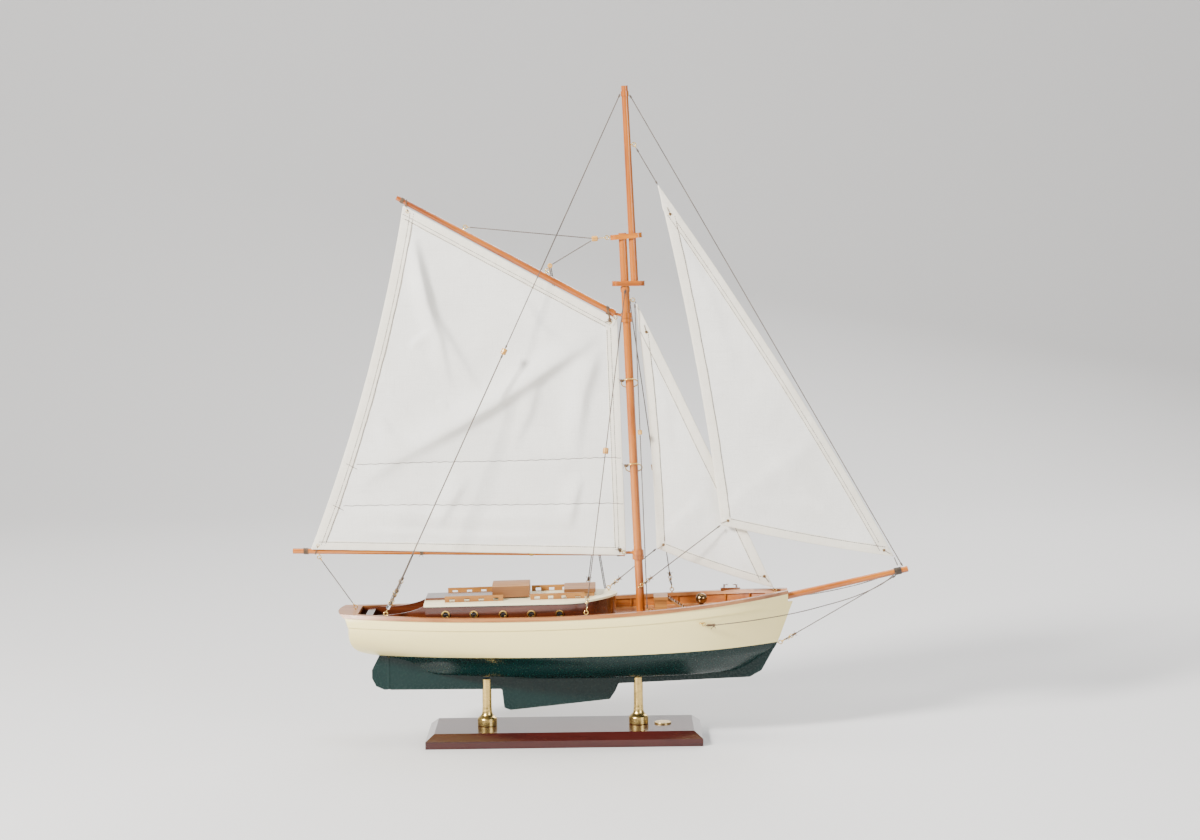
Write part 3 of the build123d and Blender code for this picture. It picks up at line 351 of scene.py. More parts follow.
MATERIALS = {
    "base": wood("base_mahogany", (0.060, 0.010, 0.008), (0.038, 0.006, 0.005), (0.018, 0.003, 0.0025),
                 roughness=0.14, coat=0.6, figure=0.7, Specular_IOR_Level=0.25),
    "pedestal": metal("pedestal_brass", BRASS, 0.26, along=(0, 0, 1)),
    "plaque": metal("plaque_brass", (0.55, 0.40, 0.17), 0.30),
    "steel": metal("fixing_steel", (0.5, 0.5, 0.52), 0.35),
    "green": paint("bottom_green", (0.0016, 0.017, 0.0155), (0.0012, 0.013, 0.0115), 0.26, 0.04, 0.28),
    "cream": paint("topside_cream", CREAM, CREAM_SHADE, 0.34, 0.35),
    "rail": wood("rail_wood", *RAIL, roughness=0.32, coat=0.35),
    "lining": wood("bulwark_lining", (0.50, 0.175, 0.028), (0.34, 0.092, 0.012), (0.15, 0.030, 0.004)),
    "deck": planked(wood("deck_planks", (0.56, 0.25, 0.09), (0.40, 0.145, 0.045), (0.20, 0.06, 0.015)),
                    6.0 * MM, (0.05, 0.02, 0.01)),
    "cabin": wood("cabin_mahogany", *MAHOGANY, roughness=0.22, coat=0.8),
    "roof": paint("roof_cream", (0.90, 0.84, 0.55), (0.82, 0.75, 0.45), 0.36, 0.15),
    "board": wood("slide_board", *MAHOGANY, roughness=0.12, coat=1.0),
    "trim": wood("golden_trim", *GOLDEN, roughness=0.42, coat=0.15),
    "hatch": planked(wood("hatch_planks", *GOLDEN, roughness=0.50, coat=0.08), 7.6 * MM, (0.10, 0.03, 0.01)),
    "mast": wood("mast_wood", *SPAR, along=(-0.0366, 0, 1), roughness=0.26, coat=0.6),
    "spar": wood("spar_wood", *SPAR, along=(1, 0, 0), roughness=0.26, coat=0.6),
    "gaff": wood("gaff_wood", *SPAR, along=(0.8766, 0, -0.4813), roughness=0.26, coat=0.6),
    "sprit": wood("bowsprit_wood", *SPAR, along=(0.978, 0, 0.209), roughness=0.26, coat=0.6),
    "brass": metal("fitting_brass", (0.74, 0.50, 0.15), 0.22),
    "bronze": metal("vent_bronze", (0.26, 0.16, 0.07), 0.20),
    "chrome": metal("chock_chrome", (0.80, 0.80, 0.82), 0.10, tarnish=(0.45, 0.43, 0.40)),
    "dark": metal("dark_band", (0.09, 0.075, 0.065), 0.42),
    "bead": wood("bead_boxwood", (0.80, 0.48, 0.12), (0.62, 0.31, 0.055), (0.30, 0.11, 0.015), roughness=0.25,
                 coat=0.6, figure=3.0),
    "sail": cloth("sail_cotton", (0.90, 0.885, 0.835), (0.74, 0.72, 0.665)),
    "hem": cloth("hem_cotton", (0.89, 0.845, 0.735), (0.74, 0.68, 0.56)),
    "stitch": cord_yarn("stitching", (0.12, 0.075, 0.045), (0.05, 0.03, 0.02)),
    "yarn": cord_yarn("rigging_yarn", (0.17, 0.125, 0.09), (0.05, 0.035, 0.026)),
    "lashing": cord_yarn("lashing_yarn", (0.21, 0.115, 0.045), (0.07, 0.035, 0.014)),
    "glass": Shader("porthole_glass", (0.012, 0.010, 0.010), 0.06, Coat_Weight=1.0),
}

LOOKS = {
    "base": ["base_board"], "plaque": ["base_plaque"], "pedestal": ["pedestal_aft", "pedestal_fore"],
    "steel": ["pedestal_fixings"], "green": ["keel", "rudder", "hull_bottom"],
    "cream": ["topside_port", "topside_stbd", "bulwark_port", "bulwark_stbd"],
    "rail": ["rail_cap_port", "rail_cap_stbd"], "lining": ["bow_block", "bulwark_posts"],
    "deck": ["deck"], "cabin": ["cabin_walls", "cockpit_coaming", "cockpit_well", "bulkheads", "mast_step"],
    "roof": ["cabin_roof"], "board": ["slide_board", "thwart"], "trim": ["grab_rails"],
    "hatch": ["companion_hatch", "fore_hatch", "fore_scuttle"],
    "mast": ["mast_lower", "topmast", "mast_bands", "boom_collar", "gaff_collar"],
    "spar": ["boom", "mast_cap_lower", "mast_cap_upper"], "gaff": ["gaff"], "sprit": ["bowsprit"],
    "brass": ["portholes", "eye_bolts", "mast_hoops", "spar_fittings", "rudder_stock"],
    "bronze": ["vent_ball"], "chrome": ["bow_chock"], "dark": ["bowsprit_band"], "bead": ["blocks"],
}


for look, nodes in LOOKS.items():
    for name in nodes:
        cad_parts[name].data.materials.clear()
        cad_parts[name].data.materials.append(MATERIALS[look].material)


def second_finish(node, look, wanted):
    """Gives another material to those faces of a node that pass a test."""
    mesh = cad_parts[node].data
    mesh.materials.append(MATERIALS[look].material)
    for face in mesh.polygons:
        if wanted(face):
            face.material_index = 1


def is_lining(face):
    """A bulwark's inner faces look towards the middle of the hull."""
    return face.normal.dot(Vector((face.center.x * 0.12, face.center.y, 0))) < 0


# The bulwarks are varnished inside, and the round block on the gaff is wood among brass fittings.
GAFF_BEAD, GAFF_BEAD_REACH = Vector((-8.4, 0.0, 476.1)) * MM, 3.7 * MM
second_finish("bulwark_port", "lining", is_lining)
second_finish("bulwark_stbd", "lining", is_lining)
second_finish("spar_fittings", "bead", lambda face: (face.center - GAFF_BEAD).length < GAFF_BEAD_REACH)


# ------------------------------------------------------------------ making pieces
def make_piece(name, verts, faces, look, body=HULL, slot=None):
    """A smooth mesh piece from points in millimetres, riding on a body if one is given."""
    mesh = bpy.data.meshes.new(name)
    mesh.from_pydata([Vector(v) * MM for v in verts], [], faces)
    for face in mesh.polygons:
        face.use_smooth = True
    mesh.validate()
    obj = bpy.data.objects.new(name, mesh)
    bpy.context.collection.objects.link(obj)
    mesh.materials.append(MATERIALS[look].material)
    if body:
        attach(obj, body)
    return obj


def tube_faces(count, around, closed=False):
    """Faces of a tube of count rings, with flat ends unless it closes on itself."""
    faces = []
    for n in range(count if closed else count - 1):
        low, high = n * around, (n + 1) % count * around
        faces += [(low + k, low + (k + 1) % around, high + (k + 1) % around, high + k) for k in range(around)]
    if not closed:
        faces += [tuple(reversed(range(around))), tuple((count - 1) * around + k for k in range(around))]
    return faces


def square_to(axis):
    """Two unit directions square to a unit axis and to each other."""
    first = axis.orthogonal().normalized()
    return first, axis.cross(first)


def circle(steps):
    """Angles evenly round a full turn."""
    return [math.tau * n / steps for n in range(steps)]


class Parts:
    """Points and faces of several shapes gathered for one mesh, in millimetres."""

    def __init__(self):
        self.verts, self.faces = [], []

    def add(self, verts, faces):
        start = len(self.verts)
        self.verts.extend(verts)
        self.faces.extend([tuple(start + n for n in face) for face in faces])

    def tube(self, points, radius, sides=8, closed=False):
        """A round tube through points; its radius may be a function of the share of its length."""
        count, rings, normal = len(points), [], None
        for n, point in enumerate(points):
            before = points[n - 1] if n or closed else point
            after = points[(n + 1) % count] if n < count - 1 or closed else point
            way = (after - before).normalized()
            if normal is None:
                normal = way.orthogonal().normalized()
            normal = (normal - way * normal.dot(way)).normalized()
            across = way.cross(normal)
            size = radius(n / max(count - 1, 1)) if callable(radius) else radius
            rings += [point + (normal * math.cos(a) + across * math.sin(a)) * size for a in circle(sides)]
        self.add(rings, tube_faces(count, sides, closed))

    def ring(self, centre, axis, radius, wire):
        """A closed ring of wire round an axis."""
        first, second = square_to(Vector(axis).normalized())
        self.tube([Vector(centre) + (first * math.cos(a) + second * math.sin(a)) * radius
                   for a in circle(20)], wire, closed=True)

    def wraps(self, centre, axis, radius, turns, wire):
        """Turns of thread laid side by side round an axis, as one wound helix."""
        axis = Vector(axis).normalized()
        first, second = square_to(axis)
        steps_a_turn = 14
        steps = steps_a_turn * turns
        points = []
        for n in range(steps + 1):
            angle = math.tau * n / steps_a_turn
            shift = (n / steps - 0.5) * turns * wire * 2.1
            points.append(Vector(centre) + axis * shift
                          + (first * math.cos(angle) + second * math.sin(angle)) * radius)
        self.tube(points, wire, 6)

    def knot(self, centre, size, wire):
        """A small overhand knot: one short closed loop that winds through itself."""
        self.tube([Vector(centre) + Vector((math.sin(a) + 2 * math.sin(2 * a), -math.sin(3 * a),
                                            math.cos(a) - 2 * math.cos(2 * a))) * (size / 3)
                   for a in circle(36)], wire, 6, closed=True)

    def piece(self, name, look, body=HULL, slot=None):
        return make_piece(name, self.verts, self.faces, look, body, slot=slot)


# ------------------------------------------------------------------ rigging lines
def islands(mesh):
    """The separate shells of a mesh in its own order, as lists of points in millimetres."""
    made = bmesh.new()
    made.from_mesh(mesh)
    bmesh.ops.remove_doubles(made, verts=made.verts, dist=1e-6)
    seen, found = set(), []
    for first in made.verts:
        if first in seen:
            continue
        seen.add(first)
        stack, shell = [first], []
        while stack:
            vert = stack.pop()
            shell.append(vert.co / MM)
            for edge in vert.link_edges:
                other = edge.other_vert(vert)
                if other not in seen:
                    seen.add(other)
                    stack.append(other)
        found.append(shell)
    made.free()
    return found


def rod_ends(shell):
    """The two ends of a straight thin rod."""
    first = max(shell, key=lambda p: (p - shell[0]).length)
    last = max(shell, key=lambda p: (p - first).length)
    near = min(1.5, (last - first).length * 0.3)
    low = [p for p in shell if (p - first).length < near]
    high = [p for p in shell if (p - last).length < near]
    return sum(low, Vector()) / len(low), sum(high, Vector()) / len(high)


# A line is two strands round each other; their size and place are shares of the line's radius.
TWIST_PITCH, THREAD_HALF = 3.6, 0.56
STRAND_OUT, STRAND_HALF = 0.48, 0.56


def smooth_path(points, steps=20):
    """A smooth curve through points."""
    ends = [points[0] * 2 - points[1], *points, points[-1] * 2 - points[-2]]
    path = []
    for a, b, c, d in zip(ends, ends[1:], ends[2:], ends[3:]):
        for n in range(steps):
            t = n / steps
            path.append((b * 2 + (c - a) * t + (a * 2 - b * 5 + c * 4 - d) * t ** 2
                         + (b * 3 - a - c * 3 + d) * t ** 3) / 2)
    return path + [points[-1]]


def add_twisted(parts, path):
    """A line of two strands wound round each other along a nearly straight path."""
    spans = [(b - a).length for a, b in zip(path, path[1:])]
    marks = np.concatenate([[0.0], np.cumsum(spans)])
    length = marks[-1]
    first, second = square_to((path[-1] - path[0]).normalized())
    steps = max(8, round(length / TWIST_PITCH * 7))
    along = np.linspace(0, length, steps + 1)
    middle = zip(*(np.interp(along, marks, [point[k] for point in path]) for k in range(3)))
    middle = [Vector(point) for point in middle]
    for phase in (0.0, math.pi):
        points = []
        for place, distance in zip(middle, along):
            angle = math.tau * distance / TWIST_PITCH + phase
            out = first * math.cos(angle) + second * math.sin(angle)
            points.append(place + out * THREAD_HALF * STRAND_OUT)
        parts.tube(points, THREAD_HALF * STRAND_HALF, 6)


SEIZED_FROM, SEIZED_AT = 14, 2.4
LINE_NODES = ["backstays", "shrouds", "topmast_stay", "bowsprit_rigging", "headsail_halyards",
              "headsail_sheets", "mast_halyard"]
seizings = Parts()


def seize(start, end):
    """Small whippings just inside both ends of a line."""
    way = (end - start).normalized()
    if (end - start).length > SEIZED_FROM:
        for point in (start + way * SEIZED_AT, end - way * SEIZED_AT):
            seizings.wraps(point, way, 0.72, 5, 0.24)


# X and Z of the slack bowsprit shrouds between their ends, and the X of the knots near their feet.
KNOT_X = 149.2
PORT_SAG = ((226.2, 136.1), (255.8, 140.2), (291.6, 148.6), (318.4, 157.4))
STBD_SAG = ((KNOT_X, 120.5), (189.0, 123.4), (228.8, 128.3), (260.0, 134.4), (291.5, 142.2),
            (318.4, 152.8))


def line_path(name, start, end):
    """The points that a line follows: straight, but for the two slack bowsprit shrouds."""
    low, high = (start, end) if start.x < end.x else (end, start)
    if name != "bowsprit_rigging" or abs(low.y) < 5:
        return [start, end]
    way = high - low
    sag = PORT_SAG if low.y > 0 else STBD_SAG
    between = [Vector((x, low.y + way.y * (x - low.x) / way.x, z)) for x, z in sag]
    return smooth_path([low, *between, high])


line_ends = {}
for name in LINE_NODES:
    lines = Parts()
    line_ends[name] = []
    for shell in islands(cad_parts[name].data):
        start, end = rod_ends(shell)
        line_ends[name].append((start, end) if start.z < end.z else (end, start))
        path = line_path(name, start, end)
        add_twisted(lines, path)
        if len(path) == 2:
            seize(start, end)
    made = lines.piece(name + "_thread", "yarn", slot="thread")
    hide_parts(name)
seizings.piece("line_seizings", "yarn", slot="thread")


# ------------------------------------------------------------------ hooks at the feet of the lines
HOOK_WIRE = 0.42
hooks, hook_knots = Parts(), Parts()


def add_hook(start, way, side, reach):
    """An open hook of bent wire along a line, with its tip turned out."""
    shape = ((0.0, -0.9), (0.7, 0.0), (0.3, 0.9), (0.1, 2.6), (0.0, reach * 0.5), (0.25, reach - 2.4),
             (0.9, reach - 0.9), (0.2, reach), (-0.8, reach - 0.7), (-1.2, reach - 2.2), (-1.9, reach - 3.1))
    hooks.tube(smooth_path([start + way * up + side * out for out, up in shape], 6), HOOK_WIRE)


def hooked_foot(low, high, reach, side):
    """A hook, the ring above it and the line's knot on the ring."""
    way = (high - low).normalized()
    side = (side - way * side.dot(way)).normalized()
    add_hook(low, way, side, reach)
    hooks.ring(low + way * (reach + 1.3), way.cross(side), 1.75, HOOK_WIRE)
    knot_place = low + way * (reach + 3.6)
    hook_knots.knot(knot_place, 1.25, 0.34)
    hook_knots.wraps(knot_place + way * 2.2, way, 0.85, 4, 0.28)
    for n, lean in enumerate((0.9, -0.7)):
        tip = way * 1.0 + side * lean
        points = [knot_place + tip * k * 0.7 + way * 0.12 * k * math.sin(k + n) for k in range(6)]
        hook_knots.tube(points, 0.26, 6)


FORE_AND_AFT, UPWARDS = Vector((1, 0, 0)), Vector((0, 0, 1))
for ends in line_ends["shrouds"]:
    hooked_foot(*ends, 7.0, FORE_AND_AFT)
bobstay = min(line_ends["bowsprit_rigging"], key=lambda ends: abs(ends[0].y))
hooked_foot(*bobstay, 6.4, UPWARDS)
for ends in line_ends["headsail_sheets"]:
    hooked_foot(*ends, 4.2, UPWARDS)

# Each backstay's tackle, on its own side: the foot and the direction of each of its falls.
TACKLE_TOP = 180
tackles = {}
for low, high in line_ends["backstays"]:
    if low.z < TACKLE_TOP:
        tackles.setdefault(low.y > 0, []).append((low, (high - low).normalized()))
tackle_feet = [(sum((low for low, _ in falls), Vector()) / len(falls), falls[0][1])
               for falls in tackles.values()]
for place, way in tackle_feet:
    for up, radius in ((13.0, 2.1), (2.2, 1.9)):
        hooks.ring(place + way * up, way.cross(FORE_AND_AFT), radius, HOOK_WIRE)
    for out in (-1.3, 1.3):
        sideways = (FORE_AND_AFT - way * FORE_AND_AFT.dot(way)).normalized() * out
        strop = [place + way * up + sideways * share for up, share in ((1.6, 0.9), (7, 1), (12.6, 0.9))]
        hook_knots.tube(smooth_path(strop, 6), 0.36, 6)
    hook_knots.wraps(place + way * 16.4, way, 1.3, 4, 0.3)

for low, high in line_ends["bowsprit_rigging"]:
    if abs(low.y) > 5:
        along = KNOT_X - low.x
        if low.y < 0:
            height = STBD_SAG[0][1]
        else:
            height = low.z + (PORT_SAG[0][1] - low.z) * along / (PORT_SAG[0][0] - low.x)
        place = Vector((KNOT_X, low.y + (high.y - low.y) * (along / (high.x - low.x)), height))
        way = (place - low).normalized()
        hook_knots.knot(place, 1.7, 0.44)
        hook_knots.wraps(low + way * 3.2, way, 0.9, 6, 0.34)
        hook_knots.wraps(place - way * 2.8, way, 0.85, 4, 0.32)
        for n, tip in enumerate((Vector((-0.7, 0, -1.0)), Vector((0.5, 0, -0.8)))):
            outward = Vector((0, 0.35 if low.y > 0 else -0.35, 0))
            points = [place + tip * k * 0.8 + outward * math.sin(k * 0.8 + n) for k in range(6)]
            hook_knots.tube(points, 0.27, 6)
hooks.piece("line_hooks", "brass", slot="fitting_brass")
hook_knots.piece("line_knots", "lashing", slot="thread")


def is_tackle_block(face):
    """The lowest block of each backstay tackle is white metal."""
    return any((face.center / MM - (place - way * 2.3)).length < 3.3 for place, way in tackle_feet)


second_finish("blocks", "chrome", is_tackle_block)


def distance_to_line(point, start, end):
    way = end - start
    share = max(0.0, min(1.0, (point - start).dot(way) / way.length_squared))
    return (point - start - way * share).length


BOOM_LINE = (Vector((-270.2, 0, 193.5)), Vector((62.0, 0, 187.6)))
GAFF_LINE = (Vector((-159.6, 0, 545.6)), Vector((54.9, 0, 427.8)))
for name in ("mainsheet", "peak_halyard"):
    for number, shell in enumerate(islands(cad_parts[name].data)):
        ends = rod_ends(shell)
        reach = [min(distance_to_line(p, *BOOM_LINE), distance_to_line(p, *GAFF_LINE)) for p in ends]
        fixed, moving = (ends[1], ends[0]) if reach[0] < reach[1] else ends
        line = Parts()
        add_twisted(line, [fixed, moving])
        made = line.piece(f"{name}_thread_{number}", "yarn", body=None, slot="thread")
        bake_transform(made)
        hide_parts(name)


# ------------------------------------------------------------------ sails
# Millimetres. A sail has its flat cut in a plane, and its relief stands off that plane to starboard.
CLOTH_HALF, HEM_HALF = 0.26, 0.58
STITCH_PITCH, STITCH_GAP, STITCH_HALF = 2.2, 0.45, 0.29


class Fold:
    """A crease or soft fold along a few points of the sail's own X and Z."""

    def __init__(self, points, height, width, fade_in=0.15, fade_out=0.35):
        self.points = [np.array(p, float) for p in points]
        self.height, self.width = height, width
        self.fade_in, self.fade_out = fade_in, fade_out

    def at(self, x, z):
        lengths = [np.linalg.norm(b - a) for a, b in zip(self.points, self.points[1:])]
        total, done = sum(lengths), 0.0
        best = np.full_like(x, 1e9)
        share = np.zeros_like(x)
        side = np.ones_like(x)
        for a, b, length in zip(self.points, self.points[1:], lengths):
            way = (b - a) / length
            along = np.clip((x - a[0]) * way[0] + (z - a[1]) * way[1], 0, length)
            dx, dz = x - a[0] - way[0] * along, z - a[1] - way[1] * along
            away = np.hypot(dx, dz)
            near = away < best
            best = np.where(near, away, best)
            share = np.where(near, (done + along) / total, share)
            side = np.where(near, np.sign(way[0] * dz - way[1] * dx), side)
            done += length
        fade = np.clip(share / self.fade_in, 0, 1) * np.clip((1 - share) / self.fade_out, 0, 1)
        spread = np.where(side > 0, self.width, self.width * 2.2)
        return self.height * fade * np.exp(-(best / spread) ** 2)


def ripple(x, z, seed, scale, height):
    """Slow irregular waves over the cloth."""
    total = np.zeros_like(x)
    for n in range(5):
        angle = seed * 1.7 + n * 2.4
        pitch = scale * (0.6 + 0.27 * n)
        total += np.sin((x * math.cos(angle) + z * math.sin(angle)) / pitch + seed * (n + 1)) / (n + 1.5)
    return total * height * 0.5


class Sail:
    """A sail between its peak, throat, tack and clew; on a headsail, peak and throat are one point."""

    def __init__(self, node, body, corners, bulges, relief, hems):
        """bulges belong to the head, luff, foot and leech; hems gives the widths of the folded edges."""
        self.node, self.body = node, body
        self.corners = [np.array(c, float) for c in corners]
        peak, throat, tack, clew = self.corners
        normal = np.cross(tack - peak, clew - peak)
        self.normal = normal / np.linalg.norm(normal) * (-1 if normal[1] > 0 else 1)
        self.relief, self.hems = relief, hems
        self.middle = sum(self.corners) / 4
        self.edges = {"head": (peak, throat, bulges[0]), "luff": (throat, tack, bulges[1]),
                      "foot": (clew, tack, bulges[2]), "leech": (peak, clew, bulges[3])}

    def edge(self, name, share):
        """Points along an edge curve for an array of shares."""
        start, end, bulge = self.edges[name]
        share = np.asarray(share, float)[..., None]
        if np.linalg.norm(end - start) < 1e-6:
            return start + share * 0
        out = np.cross(end - start, self.normal)
        out /= np.linalg.norm(out)
        if np.dot(out, (start + end) / 2 - self.middle) < 0:
            out = -out
        return start + (end - start) * share + out * 4 * bulge * share * (1 - share)

    def off_plane(self, points):
        """How far the cloth stands off its plane, as the sail's relief gives it."""
        return self.relief(points[..., 0], points[..., 2])

    def cloth(self, columns, rows):
        """The cloth as one closed thin shell."""
        s = np.linspace(0, 1, columns)[None, :]
        t = np.linspace(0, 1, rows)[:, None]
        leech, luff = self.edge("leech", 1 - t[:, 0])[:, None], self.edge("luff", 1 - t[:, 0])[:, None]
        foot, head = self.edge("foot", s[0])[None], self.edge("head", s[0])[None]
        peak, throat, tack, clew = self.corners
        s3, t3 = s[..., None], t[..., None]
        flat = ((1 - s3) * leech + s3 * luff + (1 - t3) * foot + t3 * head
                - ((1 - s3) * (1 - t3) * clew + s3 * (1 - t3) * tack
                   + (1 - s3) * t3 * peak + s3 * t3 * throat))
        raised = self.off_plane(flat)[..., None]
        front = flat + self.normal * (raised + CLOTH_HALF)
        back = flat + self.normal * (raised - CLOTH_HALF)
        count = columns * rows
        verts = np.concatenate([front.reshape(-1, 3), back.reshape(-1, 3)])
        grid = np.arange(count).reshape(rows, columns)
        quads = np.stack([grid[:-1, :-1], grid[:-1, 1:], grid[1:, 1:], grid[1:, :-1]], -1).reshape(-1, 4)
        faces = [tuple(q) for q in quads] + [tuple(q[::-1] + count) for q in quads]
        rim = list(grid[0]) + list(grid[1:, -1]) + list(grid[-1, -2::-1]) + list(grid[-2:0:-1, 0])
        faces += [(b, a, a + count, b + count) for a, b in zip(rim, rim[1:] + rim[:1])]
        return verts, faces

    def inward(self, points):
        """Unit directions from the edge into the cloth."""
        tangent = np.gradient(points, axis=0)
        across = np.cross(tangent, self.normal)
        across /= np.linalg.norm(across, axis=1)[:, None]
        towards = self.middle - points[len(points) // 2]
        return across if np.dot(across[len(points) // 2], towards) > 0 else -across

    def room(self, name, points, inward):
        """How far the cloth reaches inwards from points on an edge."""
        reach = np.full(len(points), 1e9)
        for other, (first, last, _) in self.edges.items():
            if other == name or np.linalg.norm(last - first) < 1:
                continue
            out = np.cross(last - first, self.normal)
            out /= np.linalg.norm(out)
            if np.dot(out, self.middle - first) > 0:
                out = -out
            speed = inward @ out
            gap = (first - points) @ out
            reach = np.where(speed > 1e-6, np.minimum(reach, gap / np.maximum(speed, 1e-6)), reach)
        return reach

    def along(self, name, offset, start, end):
        """A stitch's points parallel to an edge, offset into the cloth, between distances from its ends."""
        first, last, _ = self.edges[name]
        length = np.linalg.norm(last - first)
        count = max(2, int((length - start - end) / STITCH_PITCH))
        share = np.linspace(start / length, 1 - end / length, count + 1)
        points = self.edge(name, share)
        return points + self.inward(points) * offset

    def hem(self, parts, name, width, half):
        """A folded band round an edge, rounded outside and slightly puckered by its stitching."""
        first, last, _ = self.edges[name]
        length = np.linalg.norm(last - first)
        if length < 1:
            return
        share = np.linspace(0, 1, int(length / 1.6) + 1)
        edge = self.edge(name, share)
        inward = self.inward(edge)
        distance = share * length
        wobble = 0.25 * np.sin(distance / 9.0 + len(name)) + 0.18 * np.sin(distance / 3.7)
        offsets = [-0.55, -0.42, 0.1, width * 0.3, width * 0.62, width * 0.85, width]
        halves = [0.12, half * 0.75, half, half * 1.02, half * 1.02, half * 0.92, half * 0.72]
        pucker = 0.09 * np.sin(distance / 0.95) + 0.10 * np.sin(distance / 2.6)
        section = []
        room = self.room(name, edge, inward) - 0.2
        for offset, thick in zip(offsets, halves):
            reach = np.minimum(offset + wobble * (offset > 1), np.maximum(room, -0.1) + offset * 0.01)
            place = edge + inward * reach[:, None]
            raised = self.off_plane(place) + pucker * (0.2 if offset < 1 else 1.0)
            section.append((place, raised, thick))
        loop = [place + self.normal * (raised + thick)[:, None] for place, raised, thick in section]
        loop += [place + self.normal * (raised - thick)[:, None]
                 for place, raised, thick in reversed(section)]
        around, count = len(loop), len(share)
        verts = np.stack(loop, 1).reshape(-1, 3)
        faces = tube_faces(count, around)
        if np.dot(np.cross(loop[1][1] - loop[0][1], loop[0][2] - loop[0][1]), self.normal) > 0:
            faces = [tuple(reversed(face)) for face in faces]
        parts.add([Vector(v) for v in verts], faces)

    def stitches(self, parts, points, half):
        """Short threads lying on both sides along a row of points."""
        raised = self.off_plane(points)
        tangent = np.gradient(points, axis=0)
        tangent /= np.linalg.norm(tangent, axis=1)[:, None]
        for n, (point, high, way) in enumerate(zip(points, raised, tangent)):
            for face in (1, -1):
                base = point + self.normal * (high + face * (half + 0.04))
                reach = (STITCH_PITCH - STITCH_GAP) / 2 * (0.9 + 0.2 * math.sin(n * 1.9))
                low = self.normal * face * 0.14
                ends = [base - way * reach - low, base + low * 0.6, base + way * reach - low]
                parts.tube([Vector(p) for p in ends], STITCH_HALF, 5)

    def cord_along(self, parts, points, half, size, wave=0.0):
        """A thin seam thread on both sides of the cloth."""
        raised = self.off_plane(points)
        for face in (1, -1):
            line = [Vector(p + self.normal * (h + face * half) + np.array((0, 0, wave * math.sin(n * 0.83))))
                    for n, (p, h) in enumerate(zip(points, raised))]
            parts.tube(line, size, 5)

    def eyelet(self, parts, x_z, radius):
        """A small metal ring pressed through the cloth."""
        point = self.on_cloth(*x_z)
        for face in (1, -1):
            parts.ring(point + Vector(self.normal) * face * (HEM_HALF + 0.1), self.normal, radius, 0.38)

    def on_cloth(self, x, z, stand=0.0):
        """The point of the sail at this X and Z."""
        peak = self.corners[0]
        y = peak[1] - ((x - peak[0]) * self.normal[0] + (z - peak[2]) * self.normal[2]) / self.normal[1]
        high = float(self.relief(np.array([x]), np.array([z]))[0])
        return Vector((x, y, z)) + Vector(self.normal) * (high + stand)


def finish_mesh(obj):
    """Merges meeting points, turns every face outwards and shades the piece smooth."""
    made = bmesh.new()
    made.from_mesh(obj.data)
    bmesh.ops.remove_doubles(made, verts=made.verts, dist=2e-6)
    bmesh.ops.dissolve_degenerate(made, edges=made.edges, dist=1e-7)
    bmesh.ops.recalc_face_normals(made, faces=made.faces)
    made.to_mesh(obj.data)
    made.free()
    for face in obj.data.polygons:
        face.use_smooth = True
    return obj


def build_sail(sail, columns, rows, rows_of_stitches):
    cloth_piece = finish_mesh(make_piece(sail.node + "_cloth", *sail.cloth(columns, rows), "sail",
                                         sail.body, slot="sail_cloth"))
    # Each hem is a little thicker than the one before, so that they don't flicker where they cross.
    hem_halves = {edge: HEM_HALF + 0.09 * order for order, edge in enumerate(sail.hems)}
    hems = Parts()
    for edge, width in sail.hems.items():
        sail.hem(hems, edge, width, hem_halves[edge])
    hem_piece = finish_mesh(hems.piece(sail.node + "_hems", "hem", sail.body, slot="sail_cloth"))
    sewing = Parts()
    for edge, offset, start, end in rows_of_stitches:
        half = hem_halves[edge] if offset < sail.hems[edge] - 0.4 else CLOTH_HALF
        sail.stitches(sewing, sail.along(edge, offset, start, end), half)
    sewing_piece = sewing.piece(sail.node + "_stitching", "stitch", sail.body, slot="thread")
    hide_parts(sail.node)


MAIN_FOLDS = [
    Fold([(43, 410), (-61, 342), (-106, 316), (-169, 283), (-209, 256)], 7.8, 7.0, 0.22, 0.5),
    Fold([(-145, 508), (-131, 438), (-120, 405), (-110, 352)], 5.2, 4.4, 0.2, 0.45),
    Fold([(-145, 508), (-126, 430), (-100, 384), (-78, 346)], 3.6, 4.4, 0.3, 0.4),
    Fold([(-150, 395), (-136, 408), (-124, 414)], 1.8, 3.6, 0.3, 0.3),
    Fold([(-124.2, 342.6), (-117, 340.5), (-110.3, 337.4)], 1.1, 1.5, 0.3, 0.3),
    Fold([(38, 396), (23, 351), (10, 276)], 4.4, 7.0, 0.2, 0.5),
    Fold([(-20, 372), (-32, 330), (-52, 290)], 2.6, 5.6, 0.3, 0.4),
    Fold([(-205, 236), (-120, 225), (10, 222)], 3.0, 7.0, 0.2, 0.4),
    Fold([(-215, 214), (-100, 206), (30, 204)], 2.2, 4.4, 0.2, 0.3),
    Fold([(20, 268), (12, 240), (6, 212)], 2.4, 4.6, 0.3, 0.3),
    Fold([(-95, 268), (-112, 240), (-128, 214)], 2.4, 5.4, 0.3, 0.3),
    Fold([(-182, 330), (-170, 306), (-150, 292)], 2.0, 5.4, 0.3, 0.4),
    Fold([(-40, 452), (-20, 415), (14, 388)], 1.8, 5.0, 0.3, 0.4),
]
REEFS = (((-215.3, 280.0), (59.6, 283.6)), ((-229.4, 238.6), (61.2, 237.6)))
# The mainsail's corners: X and Z, in the plane Y = MAIN_Y.
MAIN_Y = -4.1
MAIN_PEAK, MAIN_THROAT = (-152.7, 537.0), (57.4, 421.0)
MAIN_TACK, MAIN_CLEW = (63.4, 186.0), (-251.0, 196.0)


def straight_gap(x, z, start, end):
    """Distance from points to a straight line through two points."""
    (ax, az), (bx, bz) = start, end
    length = math.hypot(bx - ax, bz - az)
    return np.abs((x - ax) * (bz - az) - (z - az) * (bx - ax)) / length


